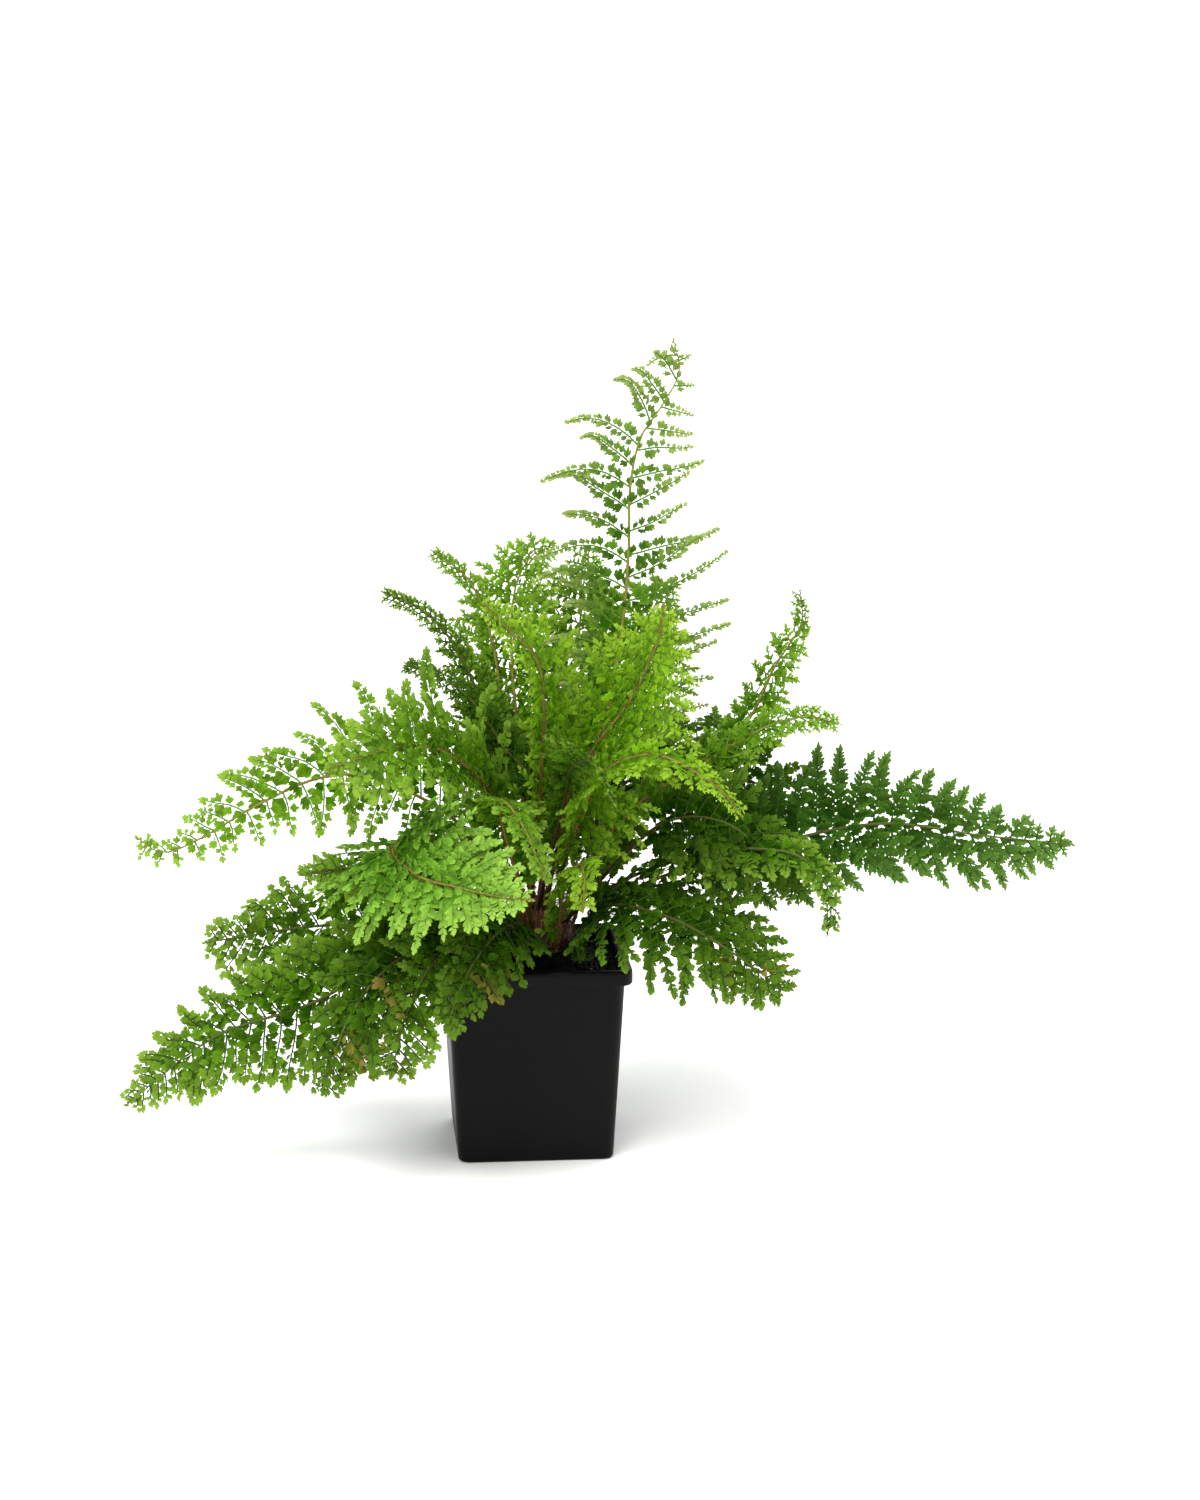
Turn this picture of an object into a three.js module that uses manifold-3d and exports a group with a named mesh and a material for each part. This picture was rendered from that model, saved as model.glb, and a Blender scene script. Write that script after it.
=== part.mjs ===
// A potted fern: a square nursery pot, its potting mix, a scaly rootstock and the fronds that grow from it.
// Millimetres, +Z up, the pot's foot on z = 0 and centred on the origin, the plant's front towards -Y.
import * as THREE from "three";
import Module from "manifold-3d";
import { mergeVertices } from "three/addons/utils/BufferGeometryUtils.js";

const wasm = await Module();
wasm.setup();

const GAP = 0.3; // between the stalks, the rootstock, the mix and the pot
const WELD = 1e-4;
const DRILL_MARGIN = 2;
const RAD = Math.PI / 180;
const Y_AXIS = new THREE.Vector3(0, 1, 0);
const Z_AXIS = new THREE.Vector3(0, 0, 1);

// Pot: a square, tapered nursery pot.
const POT_WIDTH = 117;
const POT_HEIGHT = 122;
const POT_FOOT = 95;
const POT_WALL = 1.5;
const POT_FLOOR = 2.4;
const RIM_HEIGHT = 10;
const RIM_OVERHANG = 3.8;
const CORNER_RADIUS = 9;
const FOOT_EDGE = 1.5; // height of the rounding round the foot
const RIM_EDGE = 1.5; // and of that below the rim
const RIM_ROLL = 2.2; // and of that on the rim
const DRAIN_RADIUS = 5;
const DRAIN_OFFSET = 24;
const DRAIN_SIDES = 8;

// Potting mix, a little below the rim, and the rootstock that stands in it.
const SOIL_TOP = 112;
const SOIL_MOUND = 5;
const SOIL_CRUMB = 2.4;
const CROWN_X = 4;
const CROWN_FOOT = 94;
const CROWN_NECK_RADIUS = 19;
const CROWN_HEIGHT = 150;
const CROWN_SIDES = 14;
const CROWN_LUMP = 1.2;

// Fronds.
const BLADE_HALF = 0.35; // half the thickness of a pinna
const STALK_HALF = 1.1; // half the width of a stalk at its seat
const RACHIS_HALF = 0.6; // and of the rachis at its tip
const PINNA_ROOT = 2.6;
const PINNA_ANGLE = 68; // degrees between rachis and pinna, where a frond has no angle of its own
const PINNA_LIFT = 8; // degrees above the plane of the frond
const WIDEST_PINNA = 6; // half of it, however far apart the pinnae are
const SHORTEST_PINNA = 7;
const LENGTH_SPREAD = 0.2; // how much the lengths of neighbours differ, as a share
const STAGGER = 0.45; // how far one side's pinnae are shifted, as a share of their spacing
const CROWDING = 0.35; // how much closer the pinnae are at the tip
const LEAFY_END = 0.97;
const TAPER = 1.8; // the larger, the later the pinnae shorten towards a frond's tip
const TIP_DROP = 0.98; // by how much they have shortened there
const SEAT_DEPTH = 5; // how far a stalk stands in its socket in the rootstock
const SOCKET_SIDES = 4;
const STALK_STEPS = 3;
const BIG_PINNA = 56; // longer pinnae have a third lobe on each edge
const SMALL_PINNA = 20; // and shorter ones a single one

// Where stalks sit on the rootstock: height, distance from its axis and slope of the seat in degrees.
const TIERS = [
  { z: 127, radius: 23, slope: 25 },
  { z: 139, radius: 17.5, slope: 50 },
  { z: 147, radius: 9, slope: 72 },
];

// One row for each frond. seat: azimuth in degrees (0 = +X, 90 = +Y) and tier. path: points that the rachis
// passes through after its seat. reach: longest pinna. pairs: pinnae on each side. bare: share of the length
// without pinnae. face: where the upper side looks at mid-length. sag: how far the pinnae's ends hang.
// angle and taper: where they aren't the usual ones. other...: the same on the other side of the rachis.
const POT_BLACK = 0x1c1c1d;
const SOIL_BLACK = 0x0f0d0c;
const ROOT_BROWN = 0x4a2a1a;
const BRIGHT = 0x86c93a;
const FRESH = 0x62ab2b;
const MID = 0x4a9226;
const DARK = 0x2c6b2b;
const FRONDS = [
  {
    name: "frond_front_left_face",
    seat: [232, 1],
    path: [
      [-54, -30, 198], [-86, -72, 204], [-72, -104, 195], [-51, -124, 193], [-29, -140, 191],
      [-9, -150, 191],
    ],
    reach: 62,
    otherReach: 68,
    pairs: 11,
    bare: 0.3,
    face: [-0.35, -0.9, 0.2],
    sag: 0.1,
    taper: 1.0,
    colour: BRIGHT,
  },
  {
    name: "frond_centre_right",
    seat: [300, 2],
    path: [[20, -22, 212], [34, -38, 252], [56, -50, 286], [72, -56, 322], [76, -56, 346]],
    reach: 62,
    otherReach: 48,
    pairs: 10,
    bare: 0.18,
    face: [-0.5, -0.8, 0.3],
    sag: 0.15,
    colour: BRIGHT,
  },
  {
    name: "frond_centre_left",
    seat: [250, 2],
    path: [[4, -36, 230], [4, -60, 292], [-2, -70, 318], [-18, -78, 336], [-32, -82, 352]],
    reach: 40,
    otherReach: 16,
    pairs: 9,
    bare: 0.25,
    face: [0.5, -0.7, 0.5],
    sag: 0.15,
    colour: BRIGHT,
  },
  {
    name: "frond_front_middle",
    seat: [258, 1],
    path: [[-18, -44, 203], [-23, -84, 235], [-12, -112, 226], [1, -128, 195]],
    reach: 26,
    pairs: 9,
    bare: 0.15,
    face: [0, -0.5, 0.9],
    sag: 0.15,
    taper: 1.2,
    colour: FRESH,
  },
  {
    name: "frond_front_left_high",
    seat: [200, 2],
    path: [[-18, -28, 210], [-47, -64, 255], [-80, -96, 271], [-125, -120, 263]],
    reach: 39,
    pairs: 8,
    bare: 0.15,
    face: [-0.2, -0.7, 0.7],
    sag: 0.15,
    angle: 64,
    taper: 2.6,
    colour: BRIGHT,
  },
  {
    name: "frond_left_high",
    seat: [172, 1],
    path: [
      [-40, -12, 200], [-90, -16, 233], [-126, -17, 236], [-163, -16, 221], [-200, -13, 199],
      [-223, -11, 190], [-239, -9, 199],
    ],
    reach: 92,
    otherReach: 34,
    pairs: 15,
    bare: 0.1,
    face: [0.1, -0.85, 0.5],
    sag: 0.1,
    otherSag: 0.2,
    angle: 62,
    otherAngle: 92,
    taper: 0.5,
    otherTaper: 1.0,
    colour: FRESH,
  },
  {
    name: "frond_top",
    seat: [0, 2],
    path: [
      [36, 2, 234], [55, 8, 307], [61, 10, 362], [62, 10, 404], [68, 10, 435],
      [80, 8, 454], [91, 4, 476], [87, 0, 496],
    ],
    reach: 72,
    otherReach: 66,
    pairs: 14,
    bare: 0.25,
    face: [0, -1, 0.1],
    sag: 0.02,
    otherSag: 0.5,
    angle: 70,
    otherAngle: 56,
    taper: 1.0,
    otherTaper: 4.5,
    colour: MID,
  },
  {
    name: "frond_right_long",
    seat: [355, 0],
    path: [[64, -6, 160], [134, -12, 184], [210, -24, 202], [272, -34, 196], [328, -44, 191]],
    reach: 43,
    otherReach: 50,
    pairs: 15,
    bare: 0.28,
    face: [0, -0.9, 0.4],
    sag: 0.05,
    angle: 58,
    otherAngle: 80,
    taper: 2.4,
    otherTaper: 1.0,
    colour: DARK,
  },
  {
    name: "frond_left_low",
    seat: [200, 0],
    path: [[-68, -31, 137], [-132, -44, 104], [-194, -48, 84], [-248, -48, 43]],
    reach: 39,
    otherReach: 44,
    pairs: 13,
    bare: 0.2,
    face: [0, -0.85, 0.5],
    sag: 0.1,
    otherTaper: 1.2,
    colour: MID,
  },
  {
    name: "frond_right_low",
    seat: [325, 0],
    path: [[42, -48, 160], [76, -80, 161], [109, -100, 146], [142, -116, 124]],
    reach: 50,
    otherReach: 46,
    pairs: 9,
    bare: 0.03,
    face: [0.2, -0.8, 0.6],
    sag: 0.15,
    angle: 56,
    taper: 2.4,
    colour: DARK,
  },
  {
    name: "frond_right_droop",
    seat: [318, 1],
    path: [
      [60, -38, 176], [110, -66, 197], [148, -86, 200], [167, -94, 186], [172, -96, 168],
      [170, -96, 152],
    ],
    reach: 32,
    pairs: 9,
    bare: 0.32,
    face: [-0.2, -0.5, 0.85],
    sag: 0.2,
    taper: 0.6,
    colour: MID,
  },
  {
    name: "frond_front_right",
    seat: [285, 1],
    path: [[24, -46, 208], [40, -78, 250], [68, -102, 264], [100, -114, 248], [116, -118, 230]],
    reach: 26,
    pairs: 9,
    bare: 0.2,
    face: [0.1, -0.5, 0.85],
    sag: 0.15,
    taper: 1.3,
    colour: BRIGHT,
  },
  {
    name: "frond_upright_right",
    seat: [30, 1],
    path: [[66, 20, 210], [130, 24, 250], [154, 26, 292], [169, 22, 318], [167, 14, 341]],
    reach: 28,
    otherReach: 20,
    pairs: 9,
    bare: 0.3,
    face: [-0.7, -0.5, 0.4],
    sag: 0.1,
    colour: FRESH,
  },
  {
    name: "frond_right_short",
    seat: [350, 1],
    path: [[56, 0, 202], [106, -8, 238], [142, -18, 262], [166, -23, 269], [187, -26, 265]],
    reach: 20,
    otherReach: 17,
    pairs: 8,
    bare: 0.15,
    face: [-0.3, -0.6, 0.7],
    sag: 0.1,
    angle: 56,
    taper: 4,
    colour: FRESH,
  },
  {
    name: "frond_back_left_high",
    seat: [110, 2],
    path: [[-4, 30, 234], [-8, 48, 300], [-5, 58, 336], [6, 62, 357], [20, 60, 363]],
    reach: 44,
    pairs: 8,
    bare: 0.2,
    face: [-0.2, -1, 0.2],
    sag: 0.2,
    colour: FRESH,
  },
  {
    name: "frond_back_left_upper",
    seat: [150, 2],
    path: [[-14, 28, 228], [-16, 42, 280], [-23, 48, 318], [-34, 51, 344], [-57, 52, 363]],
    reach: 46,
    otherReach: 36,
    pairs: 8,
    bare: 0.2,
    face: [0.2, -0.95, 0.3],
    sag: 0.2,
    angle: 46,
    taper: 0.45,
    colour: FRESH,
  },
  {
    name: "frond_back_left",
    seat: [130, 1],
    path: [[-18, 20, 220], [-29, 30, 273], [-44, 34, 306], [-62, 37, 327], [-88, 38, 340]],
    reach: 46,
    otherReach: 36,
    pairs: 8,
    bare: 0.2,
    face: [0.2, -0.9, 0.4],
    sag: 0.2,
    angle: 46,
    taper: 0.45,
    colour: FRESH,
  },
  {
    name: "frond_left_middle",
    seat: [205, 1],
    path: [[-45, -20, 169], [-84, -30, 181], [-112, -36, 184], [-141, -38, 181]],
    reach: 27,
    pairs: 8,
    bare: 0.15,
    face: [0, -0.7, 0.7],
    sag: 0.1,
    colour: BRIGHT,
  },
  {
    name: "frond_left_back_low",
    seat: [165, 0],
    path: [[-58, 8, 136], [-126, 20, 134], [-172, 30, 126], [-201, 34, 121]],
    reach: 42,
    otherReach: 38,
    pairs: 8,
    bare: 0.15,
    face: [0, -0.7, 0.7],
    sag: 0.1,
    taper: 2.2,
    colour: MID,
  },
  {
    name: "frond_left_front_low",
    seat: [225, 0],
    path: [[-48, -44, 142], [-88, -76, 134], [-114, -92, 106], [-130, -96, 62]],
    reach: 38,
    pairs: 8,
    bare: 0.1,
    face: [-0.3, -0.8, 0.5],
    sag: 0.15,
    colour: DARK,
  },
  {
    name: "frond_front_left_low",
    seat: [248, 0],
    path: [[-34, -48, 144], [-62, -84, 138], [-80, -102, 112], [-90, -106, 74]],
    reach: 32,
    pairs: 8,
    bare: 0.1,
    face: [-0.2, -0.9, 0.4],
    sag: 0.15,
    colour: MID,
  },
  {
    name: "frond_front_low",
    seat: [268, 0],
    path: [[-8, -48, 150], [-26, -82, 153], [-44, -104, 136], [-57, -112, 107]],
    reach: 28,
    pairs: 7,
    bare: 0.12,
    face: [0, -0.9, 0.4],
    sag: 0.15,
    colour: DARK,
  },
  {
    name: "frond_front_small",
    seat: [290, 0],
    path: [[18, -44, 174], [24, -70, 191], [26, -90, 188], [24, -98, 170]],
    reach: 15,
    pairs: 7,
    bare: 0.15,
    face: [0, -0.6, 0.8],
    sag: 0.15,
    colour: BRIGHT,
  },
  {
    name: "frond_back_right",
    seat: [35, 0],
    path: [[44, 36, 190], [76, 66, 221], [114, 90, 234], [151, 106, 235]],
    reach: 38,
    pairs: 8,
    bare: 0.2,
    face: [0, -0.7, 0.7],
    sag: 0.2,
    colour: DARK,
  },
  {
    name: "frond_back_middle",
    seat: [80, 1],
    path: [[16, 54, 202], [24, 118, 236], [30, 178, 226], [34, 226, 188]],
    reach: 44,
    pairs: 6,
    bare: 0.2,
    face: [0, 0.1, 1],
    sag: 0.2,
    colour: MID,
  },
  {
    name: "frond_back_left_low",
    seat: [130, 0],
    path: [[-34, 50, 156], [-66, 104, 160], [-92, 144, 140], [-110, 170, 104]],
    reach: 40,
    pairs: 6,
    bare: 0.2,
    face: [-0.1, 0.1, 1],
    sag: 0.2,
    colour: DARK,
  },
  {
    name: "frond_back_right_low",
    seat: [65, 0],
    path: [[36, 56, 140], [78, 118, 128], [110, 166, 100], [134, 200, 62]],
    reach: 38,
    pairs: 7,
    bare: 0.2,
    face: [0.1, 0.1, 1],
    sag: 0.2,
    colour: MID,
  },
  {
    name: "frond_right_middle",
    seat: [12, 1],
    path: [[50, 6, 186], [80, 16, 216], [116, 20, 226], [146, 18, 216], [162, 10, 186]],
    reach: 40,
    otherReach: 30,
    pairs: 8,
    bare: 0.5,
    face: [0, -0.9, 0.4],
    sag: 0.15,
    colour: DARK,
  },
  {
    name: "frond_right_inner",
    seat: [338, 1],
    path: [[52, -24, 182], [80, -48, 212], [112, -64, 214], [138, -70, 193], [159, -74, 170]],
    reach: 36,
    pairs: 8,
    bare: 0.42,
    face: [0.1, -0.8, 0.5],
    sag: 0.15,
    colour: DARK,
  },
  {
    name: "frond_centre_back",
    seat: [60, 2],
    path: [[36, 28, 216], [54, 48, 265], [72, 58, 306], [92, 60, 341]],
    reach: 54,
    pairs: 7,
    bare: 0.25,
    face: [0, -1, 0.2],
    sag: 0.2,
    colour: FRESH,
  },
  {
    name: "frond_centre_back_left",
    seat: [80, 2],
    path: [[20, 36, 222], [30, 68, 261], [37, 80, 308], [42, 84, 358]],
    reach: 46,
    pairs: 7,
    bare: 0.25,
    face: [0, -1, 0.2],
    sag: 0.2,
    colour: FRESH,
  },
  {
    name: "frond_centre_dark",
    seat: [180, 2],
    path: [[4, 4, 216], [-16, 10, 248], [-34, 13, 275], [-55, 14, 291], [-75, 12, 300]],
    reach: 36,
    otherReach: 28,
    pairs: 7,
    bare: 0.2,
    face: [0.2, -0.9, 0.3],
    sag: 0.15,
    angle: 52,
    taper: 0.5,
    colour: DARK,
  },
  {
    name: "frond_front_inner",
    seat: [276, 2],
    path: [[18, -44, 226], [20, -74, 252], [30, -102, 260], [42, -114, 238]],
    reach: 30,
    pairs: 7,
    bare: 0.2,
    face: [0.1, -0.6, 0.8],
    sag: 0.15,
    colour: MID,
  },
];

// A repeatable draw between 0 and 1.
function draw(i, j) {
  const x = Math.sin(i * 12.9898 + j * 78.233) * 43758.5453;
  return x - Math.floor(x);
}

// ---------------------------------------------------------------- closed meshes

class Surface {
  constructor() {
    this.points = [];
    this.faces = [];
  }

  add(point) {
    this.points.push(point.x, point.y, point.z);
    return this.points.length / 3 - 1;
  }

  ring(points) {
    return points.map((point) => this.add(point));
  }

  triangle(a, b, c) {
    this.faces.push(a, b, c);
  }

  quad(a, b, c, d) {
    this.triangle(a, b, c);
    this.triangle(a, c, d);
  }

  // Joins two rings of the same count; the second lies further along the outer surface.
  band(low, high) {
    low.forEach((a, i) => {
      const j = (i + 1) % low.length;
      this.quad(a, low[j], high[j], high[i]);
    });
  }

  cap(ring, centre, flip) {
    ring.forEach((a, i) => {
      const b = ring[(i + 1) % ring.length];
      if (flip) this.triangle(b, a, centre);
      else this.triangle(a, b, centre);
    });
  }

  geometry() {
    const shape = new THREE.BufferGeometry();
    shape.setAttribute("position", new THREE.Float32BufferAttribute(this.points, 3));
    shape.setIndex(this.faces);
    return shape;
  }
}

// A square with round corners, anticlockwise from above; each side is split into `split` parts.
function roundedSquare(half, radius, z, split = 1, arcSteps = 4) {
  const points = [];
  for (let corner = 0; corner < 4; corner++) {
    const turn = corner * 90;
    const centre = new THREE.Vector3(half - radius, half - radius, z);
    const start = new THREE.Vector3(half, -(half - radius), z);
    const end = new THREE.Vector3(half, half - radius, z);
    for (let i = 0; i < split; i++) {
      points.push(start.clone().lerp(end, i / split).applyAxisAngle(Z_AXIS, turn * RAD));
    }
    for (let i = 0; i < arcSteps; i++) {
      const angle = (90 * i) / arcSteps;
      const point = new THREE.Vector3(radius * Math.cos(angle * RAD), radius * Math.sin(angle * RAD), 0);
      points.push(point.add(centre).applyAxisAngle(Z_AXIS, turn * RAD));
    }
  }
  return points;
}

function circle(radius, z, count, x = 0) {
  return Array.from({ length: count }, (_, i) => {
    const angle = ((i + 0.5) / count) * 2 * Math.PI - Math.PI / 4;
    return new THREE.Vector3(x + radius * Math.cos(angle), radius * Math.sin(angle), z);
  });
}

function toManifold(geometry) {
  const merged = mergeVertices(geometry.clone().deleteAttribute("normal").deleteAttribute("uv"), WELD);
  return new wasm.Manifold(
    new wasm.Mesh({
      numProp: 3,
      vertProperties: merged.attributes.position.array,
      triVerts: new Uint32Array(merged.index.array),
    }),
  );
}

function fromManifold(solid) {
  const mesh = solid.getMesh();
  const shape = new THREE.BufferGeometry();
  shape.setAttribute("position", new THREE.BufferAttribute(mesh.vertProperties, 3));
  shape.setIndex(new THREE.BufferAttribute(mesh.triVerts, 1));
  return shape;
}

// A drill from one point to another.
function drill(from, to, radius, sides) {
  const axis = to.clone().sub(from);
  const shape = new THREE.CylinderGeometry(radius, radius, axis.length(), sides);
  const turn = new THREE.Quaternion().setFromUnitVectors(Y_AXIS, axis.clone().normalize());
  shape.applyQuaternion(turn);
  const middle = from.clone().lerp(to, 0.5);
  shape.translate(middle.x, middle.y, middle.z);
  return toManifold(shape);
}

// ---------------------------------------------------------------- pot and soil

// Half the width of the pot's outer wall at a height.
function potHalf(z) {
  const top = POT_WIDTH / 2 - RIM_OVERHANG;
  return POT_FOOT / 2 + ((top - POT_FOOT / 2) * z) / POT_HEIGHT;
}

function cornerAt(z) {
  return CORNER_RADIUS * (0.75 + (0.25 * z) / POT_HEIGHT);
}

function makePot() {
  const rimHalf = POT_WIDTH / 2;
  const rimFoot = POT_HEIGHT - RIM_HEIGHT;
  const section = [
    { half: POT_FOOT / 2 - FOOT_EDGE, z: 0 },
    { half: potHalf(FOOT_EDGE), z: FOOT_EDGE },
    { half: potHalf(rimFoot - RIM_EDGE / 2), z: rimFoot - RIM_EDGE / 2 },
    { half: rimHalf - RIM_EDGE / 2, z: rimFoot },
    { half: rimHalf, z: rimFoot + RIM_EDGE },
    { half: rimHalf, z: POT_HEIGHT - RIM_ROLL },
    { half: rimHalf - RIM_ROLL / 2, z: POT_HEIGHT - RIM_ROLL / 5 },
    { half: rimHalf - RIM_ROLL, z: POT_HEIGHT },
    { half: potHalf(POT_HEIGHT - RIM_ROLL) - POT_WALL, z: POT_HEIGHT - RIM_ROLL, inner: true },
    { half: potHalf(POT_FLOOR) - POT_WALL, z: POT_FLOOR, inner: true },
  ];
  const pot = new Surface();
  const rings = section.map(({ half, z, inner }) => {
    const corner = cornerAt(z) - (inner ? POT_WALL : 0);
    return pot.ring(roundedSquare(half, corner, z));
  });
  rings.slice(1).forEach((ring, i) => pot.band(rings[i], ring));
  pot.cap(rings[0], pot.add(new THREE.Vector3(0, 0, 0)), true);
  pot.cap(rings.at(-1), pot.add(new THREE.Vector3(0, 0, POT_FLOOR)), false);
  let solid = toManifold(pot.geometry());
  for (const x of [-DRAIN_OFFSET, DRAIN_OFFSET]) {
    for (const y of [-DRAIN_OFFSET, DRAIN_OFFSET]) {
      const from = new THREE.Vector3(x, y, -DRILL_MARGIN);
      const to = new THREE.Vector3(x, y, POT_FLOOR + DRILL_MARGIN);
      solid = solid.subtract(drill(from, to, DRAIN_RADIUS, DRAIN_SIDES));
    }
  }
  return fromManifold(solid);
}

function makeSoil() {
  const split = 3;
  const soil = new Surface();
  const insideAt = (z) => potHalf(z) - POT_WALL - GAP;
  const foot = POT_FLOOR + GAP;
  const wallAt = (z) => roundedSquare(insideAt(z), cornerAt(z) - POT_WALL, z, split);
  const wallRings = [wallAt(foot), wallAt(SOIL_TOP)];
  const hole = circle(CROWN_NECK_RADIUS + GAP, SOIL_TOP + SOIL_MOUND, wallRings[0].length, CROWN_X);
  const rings = wallRings.map((points) => soil.ring(points));
  for (const share of [0.2, 0.45, 0.7, 1]) {
    const points = wallRings[1].map((edge, i) => {
      const point = edge.clone().lerp(hole[i], share);
      const crumb = share < 1 ? (draw(i, share * 10) - 0.5) * SOIL_CRUMB : 0;
      point.z = SOIL_TOP + SOIL_MOUND * Math.sin((share * Math.PI) / 2) + crumb;
      return point;
    });
    rings.push(soil.ring(points));
  }
  rings.push(soil.ring(hole.map((point) => point.clone().setZ(CROWN_FOOT - GAP))));
  rings.slice(1).forEach((ring, i) => soil.band(rings[i], ring));
  soil.cap(rings[0], soil.add(new THREE.Vector3(0, 0, foot)), true);
  soil.cap(rings.at(-1), soil.add(new THREE.Vector3(CROWN_X, 0, CROWN_FOOT - GAP)), false);
  return soil.geometry();
}

// ---------------------------------------------------------------- rootstock

// Where a frond's stalk leaves the rootstock, and its direction there.
function seatOf({ seat: [azimuth, tier] }) {
  const { z, radius, slope } = TIERS[tier];
  const out = new THREE.Vector3(Math.cos(azimuth * RAD), Math.sin(azimuth * RAD), 0);
  const point = out.clone().multiplyScalar(radius).add(new THREE.Vector3(CROWN_X, 0, z));
  const direction = out.multiplyScalar(Math.cos(slope * RAD)).setZ(Math.sin(slope * RAD));
  return { point, direction };
}

function makeCrown() {
  const section = [
    { radius: CROWN_NECK_RADIUS - 1, z: CROWN_FOOT },
    { radius: CROWN_NECK_RADIUS, z: SOIL_TOP + SOIL_MOUND + 1 },
    { radius: 23, z: 120.5 },
    { radius: 23.5, z: 127 },
    { radius: 20.5, z: 134 },
    { radius: 16.5, z: 141 },
    { radius: 9, z: 147.5 },
  ];
  const crown = new Surface();
  const rings = section.map(({ radius, z }, k) => {
    const points = circle(radius, z, CROWN_SIDES, CROWN_X);
    if (k < 2) return crown.ring(points);
    points.forEach((point, i) => {
      const lump = 1 + (CROWN_LUMP / radius) * (draw(i, k) * 2 - 1);
      point.x = CROWN_X + (point.x - CROWN_X) * lump;
      point.y *= lump;
    });
    return crown.ring(points);
  });
  rings.slice(1).forEach((ring, i) => crown.band(rings[i], ring));
  crown.cap(rings[0], crown.add(new THREE.Vector3(CROWN_X, 0, CROWN_FOOT)), true);
  crown.cap(rings.at(-1), crown.add(new THREE.Vector3(CROWN_X, 0, CROWN_HEIGHT)), false);
  let solid = toManifold(crown.geometry());
  const socketRadius = (STALK_HALF * Math.SQRT2 + GAP) / Math.cos(Math.PI / SOCKET_SIDES);
  for (const frond of FRONDS) {
    const { point, direction } = seatOf(frond);
    const from = point.clone().addScaledVector(direction, -SEAT_DEPTH - GAP);
    const to = point.clone().addScaledVector(direction, SEAT_DEPTH);
    solid = solid.subtract(drill(from, to, socketRadius, SOCKET_SIDES));
  }
  return fromManifold(solid);
}

// ---------------------------------------------------------------- fronds

// The rachis of a frond as evenly spaced frames: centre, tangent, side and upper normal.
const FRAMES = 120;
const CURVE_STEPS = 24;
const FACED_AT = 0.55; // where along the frond its row says what it faces

function rachisOf(frond) {
  const { point, direction } = seatOf(frond);
  const through = [point, ...frond.path.map((p) => new THREE.Vector3(...p))];
  const lead = through[1].distanceTo(point) * 1.2;
  const tip = through.at(-1);
  const before = through[1].clone().addScaledVector(direction, -lead);
  const after = tip.clone().multiplyScalar(2).sub(through.at(-2));
  const knots = [before, ...through, after];
  const dense = [point.clone().addScaledVector(direction, -SEAT_DEPTH)];
  for (let k = 1; k < knots.length - 2; k++) {
    for (let i = k === 1 ? 0 : 1; i <= CURVE_STEPS; i++) {
      dense.push(catmullRom(knots.slice(k - 1, k + 3), i / CURVE_STEPS));
    }
  }
  const { length, centres } = evenly(dense);
  const tangents = centres.map((_, k) => {
    const a = centres[Math.max(0, k - 1)];
    const b = centres[Math.min(FRAMES, k + 1)];
    return b.clone().sub(a).normalize();
  });
  const normals = [];
  const middle = Math.round(FRAMES * FACED_AT);
  normals[middle] = across(new THREE.Vector3(...frond.face), tangents[middle]);
  for (let k = middle + 1; k <= FRAMES; k++) normals[k] = across(normals[k - 1], tangents[k]);
  for (let k = middle - 1; k >= 0; k--) normals[k] = across(normals[k + 1], tangents[k]);
  return { length, centres, tangents, normals };
}

// The same line as evenly spaced points.
function evenly(line) {
  const along = [0];
  for (let i = 1; i < line.length; i++) along.push(along[i - 1] + line[i].distanceTo(line[i - 1]));
  const length = along.at(-1);
  const centres = [];
  let i = 0;
  for (let k = 0; k <= FRAMES; k++) {
    const s = (length * k) / FRAMES;
    while (i < along.length - 2 && along[i + 1] < s) i++;
    centres.push(line[i].clone().lerp(line[i + 1], (s - along[i]) / (along[i + 1] - along[i])));
  }
  return { length, centres };
}

// The part of a vector that is square to a tangent.
function across(vector, tangent) {
  return vector.clone().addScaledVector(tangent, -vector.dot(tangent)).normalize();
}

function catmullRom([a, b, c, d], t) {
  const mix = (x) =>
    0.5 *
    (2 * b[x] +
      (c[x] - a[x]) * t +
      (2 * a[x] - 5 * b[x] + 4 * c[x] - d[x]) * t * t +
      (3 * b[x] - a[x] - 3 * c[x] + d[x]) * t * t * t);
  return new THREE.Vector3(mix("x"), mix("y"), mix("z"));
}

// The frame at a distance along the rachis.
function frameAt(rachis, s) {
  const at = Math.min(Math.max((s / rachis.length) * FRAMES, 0), FRAMES - 1e-6);
  const k = Math.floor(at);
  const t = at - k;
  const pick = (list) => list[k].clone().lerp(list[k + 1], t);
  const tangent = pick(rachis.tangents).normalize();
  const normal = across(pick(rachis.normals), tangent);
  const side = tangent.clone().cross(normal);
  return { centre: pick(rachis.centres), tangent, normal, side };
}

// How long the pinnae are along the leafy part, as a share of the longest.
function outline(t, taper) {
  if (t < 0.2) return 0.72 + 1.4 * t;
  return 1 - TIP_DROP * Math.pow((t - 0.2) / 0.8, taper);
}

// Distances of the pinnae along the rachis, closer together towards the tip.
function pinnaStations(frond, length) {
  const first = frond.bare * length;
  const leafy = length * (1 - frond.bare) * LEAFY_END;
  const ease = (k) => {
    const t = k / frond.pairs;
    return first + leafy * (t + CROWDING * (t - t * t));
  };
  return Array.from({ length: frond.pairs }, (_, k) => {
    return { s: ease(k), spacing: ease(k + 1) - ease(k), share: k / frond.pairs };
  });
}

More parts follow.
